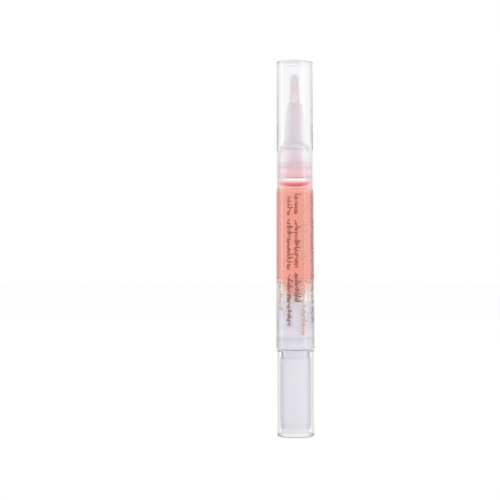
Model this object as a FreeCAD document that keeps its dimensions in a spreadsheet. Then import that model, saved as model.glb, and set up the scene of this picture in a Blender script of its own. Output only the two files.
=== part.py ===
import FreeCAD, Part
import math
import os
import Sketcher

# A nail oil pen: a clear reservoir that stands on its twist knob, with a brush under a pull-off cap.
# Everything is turned about the Z axis. Z rises from the knob's flat floor to the top of the cap.
# Lengths are in millimetres. A name that ends in count is a number of features.
SIZES = {
    # Fits that several pieces share.
    "press_clearance": 0.02,
    "running_clearance": 0.15,
    "cut_overrun": 1.0,
    # Barrel: the clear reservoir, its shoulder and the neck that the cap slides over.
    "barrel_length": 57.2,
    "barrel_shoulder_diameter": 13.3,
    "barrel_draft": 0.3,
    "barrel_wall": 1.2,
    "barrel_edge_round": 0.25,
    "shoulder_depth": 1.8,
    "shoulder_cone_height": 1.4,
    "neck_length": 14.7,
    "neck_wall": 0.9,
    "bead_height": 1.0,
    "bead_slope": 0.3,
    "bead_drop": 3.9,
    "bead_clearance": 0.06,
    # Knob: the clear outer shell that the fingers turn.
    "knob_length": 30.9,
    "knob_setback": 0.3,
    "knob_wall": 1.1,
    "knob_floor": 1.3,
    "knob_mouth_height": 1.4,
    "knob_mouth_lip": 0.45,
    "knob_edge_round": 0.45,
    "knob_gate_diameter": 1.8,
    "knob_gate_depth": 0.25,
    "knob_gap": 0.3,
    # Drive sleeve: the frosted tube inside the shell, which takes the screw in and turns it.
    "sleeve_wall": 1.03,
    "sleeve_foot_taper": 0.5,
    "sleeve_foot_height": 4.3,
    "sleeve_neck_drop": 2.9,
    "sleeve_neck_step": 0.4,
    "sleeve_throat_drop": 3.4,
    "sleeve_spigot_wall": 1.0,
    "sleeve_flange_clearance": 0.25,
    "sleeve_flange_height": 0.7,
    "sleeve_roof": 1.7,
    "sleeve_hub_wall": 0.75,
    "sleeve_hub_flat_depth": 0.35,
    "sleeve_hub_height": 3.3,
    # End plug that closes the drive sleeve at its foot.
    "end_plug_height": 2.2,
    "end_plug_dish": 0.8,
    "end_plug_rim": 1.2,
    # Retaining ring: a split ring in the barrel's foot that traps the drive sleeve.
    "ring_height": 2.9,
    "ring_wall": 0.68,
    "ring_split": 1.6,
    # Ratchet: a toothed ring in the barrel and a pair of sprung arms on the drive sleeve.
    "ratchet_height": 3.5,
    "ratchet_wall": 0.48,
    "ratchet_tooth_height": 0.45,
    "ratchet_teeth_count": 24,
    "pawl_ring_wall": 0.5,
    "pawl_reach": 0.63,
    "pawl_height": 3.0,
    "pawl_thickness": 0.45,
    "pawl_nose": 0.3,
    "pawl_arm_count": 2,
    # Drive nut, pressed into the barrel above the ratchet.
    "nut_height": 6.0,
    "nut_relief": 0.6,
    "nut_slot_width": 1.2,
    "nut_slot_depth": 0.7,
    "nut_slot_count": 6,
    # Screw: a right-hand thread with two flats and a ball head.
    "screw_flat_depth": 0.65,
    "screw_foot_gap": 0.5,
    "screw_head_gap": 0.3,
    "screw_tip_chamfer": 0.3,
    "thread_lead": 2.5,
    "thread_depth": 0.45,
    "thread_root_width": 0.7,
    "thread_flare": 0.3,
    "ball_step": 0.15,
    # Piston: a hard core that snaps on the ball, in a soft cupped seal.
    "piston_gap": 2.4,
    "seal_height": 8.0,
    "seal_lip_height": 1.1,
    "seal_relief": 0.38,
    "seal_cup_depth": 2.1,
    "seal_cup_rim": 0.35,
    "seal_crown": 1.2,
    "core_wall": 1.55,
    "core_foot_step": 0.55,
    "core_foot_height": 1.0,
    "core_roof": 0.5,
    "core_slot_width": 0.7,
    "core_slot_depth": 2.4,
    "core_mouth_flare": 0.6,
    # Oil: it wets the bore from the piston's cup up into the neck.
    "air_gap": 1.4,
    "oil_clearance": 0.04,
    # Nozzle: the frosted cone, its flange on the neck and its plug in the neck's bore.
    "plug_length": 10.8,
    "plug_waist": 0.4,
    "plug_land_height": 1.3,
    "flange_height": 1.5,
    "cone_foot_rise": 0.6,
    "cone_height": 10.7,
    "cone_draft": 0.75,
    "rim_step": 0.3,
    "rim_wall": 0.8,
    "rim_height": 2.8,
    "rim_round": 0.3,
    "channel_clearance": 0.55,
    "channel_lower_land": 4.0,
    "channel_upper_land": 1.4,
    "brush_socket_depth": 6.5,
    # Sealing ring in the plug's groove.
    "o_ring_cord": 1.3,
    "o_ring_drop": 6.5,
    # Feed tube, ferrule and brush.
    "feed_tube_diameter": 1.8,
    "feed_tube_wall": 0.4,
    "feed_tube_top_gap": 0.4,
    "ferrule_wall": 0.35,
    "ferrule_height": 3.6,
    "tuft_root_wall": 0.74,
    "tuft_clearance": 0.1,
    "tuft_length": 10.6,
    "tuft_taper": 0.55,
    # Cap: the clear hood that is pulled off along Z.
    "cap_setback": 0.2,
    "cap_wall": 0.9,
    "cap_clearance": 0.25,
    "cap_headroom": 3.5,
    "cap_top_wall": 1.2,
    "cap_top_round": 0.5,
    "cap_inner_round": 0.6,
    "cap_draft": 0.15,
    "cap_socket_drop": 1.1,
    "cap_socket_step": 0.1,
    "cap_socket_slope": 0.4,
    "cap_groove_depth": 0.15,
    "cap_mouth_lead": 0.3,
    "cap_mouth_round": 0.2,
}

# Outline of the brush's rounded tip, as shares of the tip's radius and of the tip's height.
TIP_RADIUS_SHARES = (1.0, 0.93, 0.8, 0.6, 0.34)
TIP_HEIGHT_SHARES = (0.0, 0.38, 0.64, 0.84, 0.96)
TIP_LENGTH_SHARE = 0.16

# The neck under the screw's ball takes this share of the ball's radius.
BALL_NECK_SHARE = 11 / 17

# A pawl arm is drawn in this many straight steps over this angle.
ARM_STEP_COUNT = 8
ARM_START_DEGREES = 10
ARM_SWEEP_DEGREES = 120
NOSE_SWEEP_DEGREES = 8

# The steep side of each ratchet tooth takes this share of the tooth's pitch.
STEEP_SIDE_SHARE = 0.12

SAME_PLACE = 1e-4


class Size:
    """A length with both its number and the formula that gives it on the sheet."""

    def __init__(self, value, formula):
        self.value = value
        self.formula = formula

    def __add__(self, other):
        return Size(self.value + number(other), f"({self.formula} + {formula(other)})")

    def __sub__(self, other):
        return Size(self.value - number(other), f"({self.formula} - {formula(other)})")

    def __mul__(self, share):
        return Size(self.value * share, f"({self.formula} * {share!r})")

    def __truediv__(self, share):
        return Size(self.value / share, f"({self.formula} / {share!r})")


def number(item):
    """The plain number behind a size."""
    return item.value if isinstance(item, Size) else item


def formula(item):
    """The sheet formula behind a size."""
    return item.formula if isinstance(item, Size) else repr(item)


class Sheet:
    """The spreadsheet of driving dimensions, each read by its name."""

    def __init__(self, document, entries):
        self.cells = document.addObject("Spreadsheet::Sheet", "Sizes")
        for row, (name, value) in enumerate(entries.items(), 1):
            self.cells.set(f"A{row}", name)
            self.cells.set(f"B{row}", str(value))
            self.cells.setAlias(f"B{row}", name)
            setattr(self, name, Size(value, f"Sizes.{name}"))


doc = FreeCAD.newDocument("NailOilPen")
size = Sheet(doc, SIZES)
doc.recompute()

# Levels that more than one piece takes its place from.
barrel_foot = size.knob_length + size.knob_gap
shoulder = barrel_foot + size.barrel_length
neck_top = shoulder + size.neck_length
bore_end = shoulder - size.shoulder_depth
cone_end = bore_end + size.shoulder_cone_height
bead_level = neck_top - size.bead_drop

ring_top = barrel_foot + size.ring_height
flange_foot = ring_top + size.running_clearance * 2
flange_top = flange_foot + size.sleeve_flange_height
hub_top = flange_top + size.sleeve_hub_height
ratchet_foot = flange_top + size.running_clearance * 2
nut_foot = ratchet_foot + size.ratchet_height
nut_top = nut_foot + size.nut_height

core_foot = nut_top + size.piston_gap
seal_foot = core_foot + size.core_foot_height
seal_top = seal_foot + size.seal_height
cup_floor = seal_top - size.seal_cup_depth
core_top = cup_floor - size.seal_crown
screw_top = core_foot - size.screw_head_gap
screw_foot = size.knob_floor + size.end_plug_height + size.screw_foot_gap

plug_foot = neck_top - size.plug_length
nozzle_flange_top = neck_top + size.flange_height
nozzle_cone_foot = nozzle_flange_top + size.cone_foot_rise
nozzle_cone_top = nozzle_cone_foot + size.cone_height
nozzle_top = nozzle_cone_top + size.rim_height
brush_socket_foot = nozzle_top - size.brush_socket_depth
feed_tube_top = nozzle_top - size.feed_tube_top_gap
tuft_top = nozzle_top + size.tuft_length
cap_ceiling = tuft_top + size.cap_headroom
cap_top = cap_ceiling + size.cap_top_wall

# Radii that more than one piece takes its size from.
shoulder_radius = size.barrel_shoulder_diameter / 2
barrel_foot_radius = shoulder_radius + size.barrel_draft
barrel_bore_radius = shoulder_radius - size.barrel_wall
press_radius = barrel_bore_radius - size.press_clearance

cap_radius = shoulder_radius - size.cap_setback
cap_socket_radius = cap_radius - size.cap_wall
neck_radius = cap_socket_radius - size.cap_clearance
neck_bore_radius = neck_radius - size.neck_wall

knob_radius = barrel_foot_radius - size.knob_setback
knob_bore_radius = knob_radius - size.knob_wall
sleeve_radius = knob_bore_radius - size.press_clearance
sleeve_bore_radius = sleeve_radius - size.sleeve_wall
ring_bore_radius = press_radius - size.ring_wall
spigot_radius = ring_bore_radius - size.running_clearance

ratchet_root_radius = press_radius - size.ratchet_wall
ratchet_crest_radius = ratchet_root_radius - size.ratchet_tooth_height
pawl_tip_radius = ratchet_crest_radius - size.running_clearance
pawl_ring_radius = pawl_tip_radius - size.pawl_reach
pawl_bore_radius = pawl_ring_radius - size.pawl_ring_wall
hub_radius = pawl_bore_radius - size.press_clearance
hub_half_flats = hub_radius - size.sleeve_hub_flat_depth
keyhole_radius = hub_radius - size.sleeve_hub_wall
screw_radius = keyhole_radius - size.running_clearance
screw_half_flats = screw_radius - size.screw_flat_depth
keyhole_half_flats = screw_half_flats + size.running_clearance
thread_root_radius = screw_radius - size.thread_depth
thread_mouth_width = size.thread_root_width + size.thread_flare * 2

ball_radius = thread_root_radius - size.ball_step
ball_neck_radius = ball_radius * BALL_NECK_SHARE
ball_socket_radius = ball_radius + size.running_clearance
ball_level = core_top - size.core_roof - ball_socket_radius
core_radius = ball_socket_radius + size.core_wall
seal_waist_radius = press_radius - size.seal_relief
cup_radius = press_radius - size.seal_cup_rim

nozzle_land_radius = neck_bore_radius - size.press_clearance
feed_tube_radius = size.feed_tube_diameter / 2
feed_tube_seat_radius = feed_tube_radius + size.press_clearance
tuft_root_radius = feed_tube_seat_radius + size.tuft_root_wall
ferrule_bore_radius = tuft_root_radius + size.press_clearance
ferrule_radius = ferrule_bore_radius + size.ferrule_wall
brush_socket_radius = ferrule_radius + size.press_clearance
nozzle_rim_radius = brush_socket_radius + size.rim_wall
nozzle_cone_top_radius = nozzle_rim_radius + size.rim_step
nozzle_cone_foot_radius = nozzle_cone_top_radius + size.cone_draft

# The nut's ridge starts here on the +X side, and the screw's groove whole turns below it.
ridge_level = nut_foot + thread_mouth_width
turns_below = math.ceil((ridge_level.value - screw_foot.value) / size.thread_lead.value) + 1
groove_level = ridge_level - size.thread_lead * turns_below


def bind(item, property_name, length):
    """Ties a property to its formula on the sheet."""
    item.setExpression(property_name, length.formula)


def new_body(name):
    """An empty body whose label names the piece."""
    body = doc.addObject("PartDesign::Body", name)
    body.Label = name
    return body


def origin_item(body, role):
    """A plane or axis of the body's own origin."""
    return next(item for item in body.Origin.OriginFeatures if item.Role == role)


def new_sketch(body, name, role, level=None):
    """A sketch on one of the body's own planes, raised to a level where one is given."""
    sketch = body.newObject("Sketcher::SketchObject", name)
    sketch.AttachmentSupport = [(origin_item(body, role), "")]
    sketch.MapMode = "FlatFace"
    if level is not None:
        bind(sketch, ".AttachmentOffset.Base.z", level)
    return sketch


def place_vertex(sketch, geometry, vertex, point):
    """Holds one corner at its two distances from the sketch's origin."""
    for kind, axis, length in (("DistanceX", -2, point[0]), ("DistanceY", -1, point[1])):
        if number(length) == 0:
            sketch.addConstraint(Sketcher.Constraint("PointOnObject", geometry, vertex, axis))
            continue
        datum = Sketcher.Constraint(kind, -1, 1, geometry, vertex, number(length))
        index = sketch.addConstraint(datum)
        if isinstance(length, Size):
            bind(sketch, f"Constraints[{index}]", length)


def draw_outline(sketch, points):
    """A closed outline of straight sides through points given as sizes."""
    corners = [FreeCAD.Vector(number(x), number(y), 0) for x, y in points]
    count = len(corners)
    first = sketch.GeometryCount
    for index in range(count):
        sketch.addGeometry(Part.LineSegment(corners[index], corners[(index + 1) % count]))
    for index in range(count):
        following = first + (index + 1) % count
        sketch.addConstraint(Sketcher.Constraint("Coincident", first + index, 2, following, 1))
    for index, point in enumerate(points):
        place_vertex(sketch, first + index, 1, point)


def draw_circle(sketch, radius):
    """A circle about the sketch's origin."""
    circle = Part.Circle(FreeCAD.Vector(0, 0, 0), FreeCAD.Vector(0, 0, 1), radius.value)
    index = sketch.addGeometry(circle)
    sketch.addConstraint(Sketcher.Constraint("Coincident", index, 3, -1, 1))
    datum = sketch.addConstraint(Sketcher.Constraint("Radius", index, radius.value))
    bind(sketch, f"Constraints[{datum}]", radius)


def draw_flatted_circle(sketch, radius, half_flats):
    """A circle about the origin, cut by two flats that face along Y."""
    reach = math.sqrt(radius.value ** 2 - half_flats.value ** 2)
    rise = half_flats.value
    right_up, left_up = FreeCAD.Vector(reach, rise, 0), FreeCAD.Vector(-reach, rise, 0)
    left_down, right_down = FreeCAD.Vector(-reach, -rise, 0), FreeCAD.Vector(reach, -rise, 0)
    left_end, right_end = FreeCAD.Vector(-radius.value, 0, 0), FreeCAD.Vector(radius.value, 0, 0)
    top = sketch.addGeometry(Part.LineSegment(right_up, left_up))
    left = sketch.addGeometry(Part.Arc(left_up, left_end, left_down))
    bottom = sketch.addGeometry(Part.LineSegment(left_down, right_down))
    right = sketch.addGeometry(Part.Arc(right_down, right_end, right_up))
    joins = ((top, 1, right, 2), (top, 2, left, 1), (bottom, 1, left, 2), (bottom, 2, right, 1))
    for line, line_end, arc, arc_end in joins:
        sketch.addConstraint(Sketcher.Constraint("Coincident", line, line_end, arc, arc_end))
    for arc in (left, right):
        sketch.addConstraint(Sketcher.Constraint("Coincident", arc, 3, -1, 1))
        datum = sketch.addConstraint(Sketcher.Constraint("Radius", arc, radius.value))
        bind(sketch, f"Constraints[{datum}]", radius)
    for line, side in ((top, half_flats), (bottom, half_flats * -1)):
        sketch.addConstraint(Sketcher.Constraint("Horizontal", line))
        datum = sketch.addConstraint(Sketcher.Constraint("DistanceY", -1, 1, line, 1, side.value))
        bind(sketch, f"Constraints[{datum}]", side)


def turn(body, name, points, kind="Revolution"):
    """Turns an outline of radius and level about Z, as solid or, with Groove, as a cut."""
    sketch = new_sketch(body, f"{name}Outline", "XZ_Plane")
    draw_outline(sketch, points)
    feature = body.newObject(f"PartDesign::{kind}", name)
    feature.Profile = sketch
    feature.ReferenceAxis = (sketch, ["V_Axis"])
    feature.Angle = 360
    doc.recompute()
    return feature


def extrude(body, name, sketch, height, kind="Pad"):
    """Extrudes a sketch upward, as a Pad or as a Pocket that cuts up from its plane."""
    feature = body.newObject(f"PartDesign::{kind}", name)
    feature.Profile = sketch
    bind(feature, "Length", height)
    feature.Reversed = kind == "Pocket"
    doc.recompute()
    return feature


def repeat_around(body, name, feature, count):
    """Repeats a feature evenly about Z."""
    pattern = body.newObject("PartDesign::PolarPattern", name)
    pattern.Originals = [feature]
    pattern.Axis = (origin_item(body, "Z_Axis"), [""])
    pattern.Angle = 360
    pattern.Occurrences = int(number(count))
    if isinstance(count, Size):
        bind(pattern, "Occurrences", count)
    body.Tip = pattern
    doc.recompute()


def add_primitive(body, name, kind, level, lengths):
    """Adds or cuts a sphere or torus that is centred on Z at a level."""
    solid = body.newObject(f"PartDesign::{kind}", name)
    solid.AttachmentSupport = [(origin_item(body, "XY_Plane"), "")]
    solid.MapMode = "FlatFace"
    bind(solid, ".AttachmentOffset.Base.z", level)
    for property_name, length in lengths.items():
        bind(solid, property_name, length)
    doc.recompute()


def ring_edges(shape, places):
    """Names of the round edges that lie at the given radii and levels."""
    names = []
    for index, edge in enumerate(shape.Edges, 1):
        if not isinstance(edge.Curve, Part.Circle):
            continue
        for radius, level in places:
            same_radius = abs(edge.Curve.Radius - number(radius)) < SAME_PLACE
            if same_radius and abs(edge.Curve.Center.z - number(level)) < SAME_PLACE:
                names.append(f"Edge{index}")
    return names


def soften(body, name, places, amount, kind="Fillet"):
    """Rounds or chamfers the round edges at the given places."""
    base = body.Tip
    feature = body.newObject(f"PartDesign::{kind}", name)
    feature.Base = (base, ring_edges(base.Shape, places))
    bind(feature, "Radius" if kind == "Fillet" else "Size", amount)
    doc.recompute()


def polar(radius, degrees):
    """A point of the XY plane at a radius and an angle."""
    angle = math.radians(degrees)
    return radius * math.cos(angle), radius * math.sin(angle)


def wind_thread(body, name, points, level, height, kind):
    """Winds a thread section about Z, right-handed, as AdditiveHelix or SubtractiveHelix."""
    sketch = new_sketch(body, f"{name}Section", "XZ_Plane")
    draw_outline(sketch, [(radius, level + rise) for radius, rise in points])
    thread = body.newObject(f"PartDesign::{kind}", name)
    thread.Profile = sketch
    thread.ReferenceAxis = (sketch, ["V_Axis"])
    thread.Mode = 0
    bind(thread, "Pitch", size.thread_lead)
    bind(thread, "Height", height)
    thread.Angle = 0
    thread.LeftHanded = False
    thread.Reversed = False
    doc.recompute()


def build_knob_shell():
    """Clear cup with a flat floor, a gate mark under it and a mouth that opens outwards."""
    body = new_body("knob_shell")
    turn(body, "Cup", [
        (0, 0),
        (knob_radius, 0),
        (knob_radius, size.knob_length),
        (knob_radius - size.knob_mouth_lip, size.knob_length),
        (knob_bore_radius, size.knob_length - size.knob_mouth_height),
        (knob_bore_radius, size.knob_floor),
        (0, size.knob_floor),
    ])
    soften(body, "FloorRound", [(knob_radius, 0)], size.knob_edge_round)
    gate = new_sketch(body, "GateMarkOutline", "XY_Plane")
    draw_circle(gate, size.knob_gate_diameter / 2)
    extrude(body, "GateMark", gate, size.knob_gate_depth, "Pocket")
    return body


def build_drive_sleeve():
    """Frosted tube with a narrower neck, a trapped flange and a hub with the screw's keyhole."""
    body = new_body("drive_sleeve")
    foot = size.knob_floor
    neck = spigot_radius + size.sleeve_neck_step
    neck_foot = size.knob_length - size.sleeve_neck_drop
    throat = spigot_radius - size.sleeve_spigot_wall
    throat_foot = size.knob_length - size.sleeve_throat_drop
    flange = barrel_bore_radius - size.sleeve_flange_clearance
    roof_foot = flange_top - size.sleeve_roof
    turn(body, "Tube", [
        (sleeve_bore_radius, foot),
        (sleeve_radius - size.sleeve_foot_taper, foot),
        (sleeve_radius, foot + size.sleeve_foot_height),
        (sleeve_radius, neck_foot),
        (neck, neck_foot),
        (neck, size.knob_length),
        (spigot_radius, size.knob_length),
        (spigot_radius, flange_foot),
        (flange, flange_foot),
        (flange, flange_top),
        (hub_radius, flange_top),
        (hub_radius, hub_top),
        (0, hub_top),
        (0, roof_foot),
        (throat, roof_foot),
        (throat, throat_foot),
        (sleeve_bore_radius, throat_foot - (sleeve_bore_radius - throat)),
    ])
    keyhole = new_sketch(body, "KeyholeOutline", "XY_Plane", roof_foot - size.cut_overrun)
    draw_flatted_circle(keyhole, keyhole_radius, keyhole_half_flats)
    depth = hub_top - roof_foot + size.cut_overrun * 2
    extrude(body, "Keyhole", keyhole, depth, "Pocket")
    cut_hub_flats(body)
    return body


def cut_hub_flats(body):
    """Two flats on the hub that carry the pawl ring round."""
    sketch = new_sketch(body, "HubFlatOutline", "XY_Plane", flange_top)
    far = hub_radius + size.cut_overrun
    draw_outline(sketch, [(far * -1, hub_half_flats), (far, hub_half_flats), (far, far), (far * -1, far)])
    flat = extrude(body, "HubFlat", sketch, size.sleeve_hub_height + size.cut_overrun, "Pocket")
    repeat_around(body, "HubFlats", flat, 2)


def build_end_plug():
    """Dished disc pressed into the foot of the drive sleeve."""
    body = new_body("end_plug")
    outer = sleeve_bore_radius - size.press_clearance
    top = size.knob_floor + size.end_plug_height
    dish = outer - size.end_plug_rim
    turn(body, "Disc", [
        (0, size.knob_floor),
        (outer, size.knob_floor),
        (outer, top),
        (dish, top),
        (dish - size.end_plug_dish, top - size.end_plug_dish),
        (0, top - size.end_plug_dish),
    ])
    return body


def build_retaining_ring():
    """Split ring, flush with the barrel's foot, that the drive sleeve's spigot turns in."""
    body = new_body("retaining_ring")
    outline = new_sketch(body, "RingOutline", "XY_Plane", barrel_foot)
    draw_circle(outline, press_radius)
    draw_circle(outline, ring_bore_radius)
    extrude(body, "Ring", outline, size.ring_height)
    split = new_sketch(body, "SplitOutline", "XY_Plane", barrel_foot - size.cut_overrun)
    half = size.ring_split / 2
    far = press_radius + size.cut_overrun
    draw_outline(split, [(0, half * -1), (far, half * -1), (far, half), (0, half)])
    extrude(body, "Split", split, size.ring_height + size.cut_overrun * 2, "Pocket")
    return body


def build_ratchet_ring():
    """Ring pressed into the barrel, with saw teeth inside that let the pawls pass one way."""
    body = new_body("ratchet_ring")
    root = ratchet_root_radius
    crest = ratchet_crest_radius
    outline = new_sketch(body, "RingOutline", "XY_Plane", ratchet_foot)
    draw_circle(outline, press_radius)
    draw_circle(outline, crest)
    extrude(body, "Ring", outline, size.ratchet_height)
    pitch = 360 / size.ratchet_teeth_count.value
    steep = pitch * STEEP_SIDE_SHARE
    inside = crest - size.ratchet_tooth_height
    tooth = new_sketch(body, "ToothOutline", "XY_Plane", ratchet_foot - size.cut_overrun)
    draw_outline(tooth, [
        polar(inside, steep),
        polar(root, steep),
        polar(crest, pitch),
        polar(inside, pitch),
    ])
    depth = size.ratchet_height + size.cut_overrun * 2
    space = extrude(body, "ToothSpace", tooth, depth, "Pocket")
    repeat_around(body, "ToothSpaces", space, size.ratchet_teeth_count)
    return body


def arm_outline(ring_radius, tip_radius):
    """A pawl arm that leaves its ring and winds outwards, ending in a nose."""
    sweep = tip_radius - size.pawl_nose - ring_radius
    outer, inner = [], []
    for step in range(ARM_STEP_COUNT + 1):
        share = step / ARM_STEP_COUNT
        degrees = ARM_START_DEGREES + ARM_SWEEP_DEGREES * share
        edge = ring_radius + sweep * share
        outer.append(polar(edge, degrees))
        inner.append(polar(edge - size.pawl_thickness, degrees))
    end_degrees = ARM_START_DEGREES + ARM_SWEEP_DEGREES
    nose = [polar(tip_radius, end_degrees), polar(tip_radius, end_degrees + NOSE_SWEEP_DEGREES)]
    return outer + nose + inner[::-1]


def build_pawl_ring():
    """Ring keyed on the drive sleeve's hub, with sprung arms drawn pressed in under the teeth."""
    body = new_body("pawl_ring")
    arm = new_sketch(body, "ArmOutline", "XY_Plane", flange_top)
    draw_outline(arm, arm_outline(pawl_ring_radius, pawl_tip_radius))
    arm_pad = extrude(body, "Arm", arm, size.pawl_height)
    repeat_around(body, "Arms", arm_pad, size.pawl_arm_count)
    outline = new_sketch(body, "RingOutline", "XY_Plane", flange_top)
    draw_circle(outline, pawl_ring_radius)
    extrude(body, "Ring", outline, size.pawl_height)
    keyhole = new_sketch(body, "KeyholeOutline", "XY_Plane", flange_top - size.cut_overrun)
    draw_flatted_circle(keyhole, pawl_bore_radius, hub_half_flats + size.press_clearance)
    extrude(body, "Keyhole", keyhole, size.pawl_height + size.cut_overrun * 2, "Pocket")
    return body


def build_drive_nut():
    """Nut pressed into the barrel, with slots down its side and one thread ridge in its bore."""
    body = new_body("drive_nut")
    turn(body, "Block", [
        (keyhole_radius, nut_foot),
        (press_radius - size.nut_relief, nut_foot),
        (press_radius, nut_foot + size.nut_relief),
        (press_radius, nut_top - size.nut_relief),
        (press_radius - size.nut_relief, nut_top),
        (keyhole_radius, nut_top),
    ])
    slot = new_sketch(body, "SlotOutline", "XY_Plane", nut_foot - size.cut_overrun)
    half = size.nut_slot_width / 2
    near = press_radius - size.nut_slot_depth
    far = press_radius + size.cut_overrun
    draw_outline(slot, [(near, half * -1), (far, half * -1), (far, half), (near, half)])
    slot_cut = extrude(body, "Slot", slot, size.nut_height + size.cut_overrun * 2, "Pocket")
    repeat_around(body, "Slots", slot_cut, size.nut_slot_count)
    add_nut_thread(body)
    return body


def add_nut_thread(body):
    """The ridge that runs in the screw's groove, clear of it on every side."""
    crest = thread_root_radius + size.running_clearance
    anchor = keyhole_radius + size.press_clearance
    slope = size.thread_flare.value / size.thread_depth.value
    half_crest = size.thread_root_width / 2 - size.running_clearance / 2
    half_anchor = half_crest + (anchor - crest) * slope
    points = [
        (crest, half_crest),
        (crest, half_crest * -1),
        (anchor, half_anchor * -1),
        (anchor, half_anchor),
    ]
    height = nut_top - thread_mouth_width - ridge_level
    wind_thread(body, "Thread", points, ridge_level, height, "AdditiveHelix")


def build_screw():
    """Threaded rod with two flats along it and a ball head on a thin neck."""
    body = new_body("screw")
    section = new_sketch(body, "ShankOutline", "XY_Plane", screw_foot)
    draw_flatted_circle(section, screw_radius, screw_half_flats)
    extrude(body, "Shank", section, screw_top - screw_foot)
    half_root = size.thread_root_width / 2
    half_outside = half_root + size.thread_flare * 2
    outside = screw_radius + size.thread_depth
    points = [
        (thread_root_radius, half_root),
        (thread_root_radius, half_root * -1),
        (outside, half_outside * -1),
        (outside, half_outside),
    ]
    height = screw_top - groove_level + size.thread_lead
    wind_thread(body, "Thread", points, groove_level, height, "SubtractiveHelix")
    chamfer_foot = screw_radius - size.screw_tip_chamfer
    far = screw_radius + size.cut_overrun
    chamfer_top = screw_foot + size.screw_tip_chamfer + size.cut_overrun
    turn(body, "TipChamfer", [(chamfer_foot, screw_foot), (far, screw_foot), (far, chamfer_top)], "Groove")
    neck = new_sketch(body, "NeckOutline", "XY_Plane", screw_top)
    draw_circle(neck, ball_neck_radius)
    extrude(body, "Neck", neck, ball_level - screw_top)
    add_primitive(body, "Ball", "AdditiveSphere", ball_level, {"Radius": ball_radius})
    return body


def build_piston_core():
    """Hard plug with a round socket for the screw's ball and two slots that let it snap on."""
    body = new_body("piston_core")
    outer = core_radius - size.press_clearance
    foot = seal_waist_radius - size.core_foot_step
    throat = ball_neck_radius + size.running_clearance * 2
    mouth = throat + size.core_mouth_flare
    turn(body, "Plug", [
        (0, core_foot),
        (foot, core_foot),
        (foot, seal_foot),
        (outer, seal_foot),
        (outer, core_top),
        (0, core_top),
    ])
    add_primitive(body, "Socket", "SubtractiveSphere", ball_level, {"Radius": ball_socket_radius})
    turn(body, "Mouth", [
        (0, core_foot - size.cut_overrun),
        (mouth, core_foot - size.cut_overrun),
        (mouth, core_foot),
        (throat, core_foot + size.core_mouth_flare),
        (throat, ball_level),
        (0, ball_level),
    ], "Groove")
    slot = new_sketch(body, "SlotOutline", "XY_Plane", core_foot - size.cut_overrun)
    half = size.core_slot_width / 2
    far = foot + size.cut_overrun
    draw_outline(slot, [(far * -1, half * -1), (far, half * -1), (far, half), (far * -1, half)])
    extrude(body, "Slot", slot, size.core_slot_depth + size.cut_overrun, "Pocket")
    return body


def build_piston_seal():
    """Soft cup with a lip at its top and foot, a waist between them and a dished crown."""
    body = new_body("piston_seal")
    slope = size.seal_relief
    turn(body, "Cup", [
        (core_radius, seal_foot),
        (press_radius, seal_foot),
        (press_radius, seal_foot + size.seal_lip_height),
        (seal_waist_radius, seal_foot + size.seal_lip_height + slope),
        (seal_waist_radius, seal_top - size.seal_lip_height - slope),
        (press_radius, seal_top - size.seal_lip_height),
        (press_radius, seal_top),
        (cup_radius, seal_top),
        (core_radius, cup_floor),
        (0, cup_floor),
        (0, core_top),
        (core_radius, core_top),
    ])
    return body


def build_barrel():
    """Clear tube with a slight outward draft, a shoulder and a beaded neck."""
    body = new_body("barrel")
    bead = cap_socket_radius - size.bead_clearance
    half_bead = size.bead_height / 2
    turn(body, "Tube", [
        (barrel_bore_radius, barrel_foot),
        (barrel_foot_radius, barrel_foot),
        (shoulder_radius, shoulder),
        (neck_radius, shoulder),
        (neck_radius, bead_level - half_bead),
        (bead, bead_level - half_bead + size.bead_slope),
        (bead, bead_level + half_bead - size.bead_slope),
        (neck_radius, bead_level + half_bead),
        (neck_radius, neck_top),
        (neck_bore_radius, neck_top),
        (neck_bore_radius, cone_end),
        (barrel_bore_radius, bore_end),
    ])
    edges = [(barrel_foot_radius, barrel_foot), (shoulder_radius, shoulder)]
    soften(body, "EdgeRounds", edges, size.barrel_edge_round)
    return body


def build_oil_fill():
    """The oil: a column on the piston's cup that rises through the shoulder into the neck."""
    body = new_body("oil_fill")
    gap = size.oil_clearance
    oil_level = plug_foot - size.air_gap
    turn(body, "Column", [
        (0, cup_floor + gap),
        (core_radius - gap, cup_floor + gap),
        (cup_radius - gap, seal_top + gap),
        (barrel_bore_radius - gap, seal_top + gap),
        (barrel_bore_radius - gap, bore_end),
        (neck_bore_radius - gap, cone_end),
        (neck_bore_radius - gap, oil_level),
        (0, oil_level),
    ])
    return body


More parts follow.
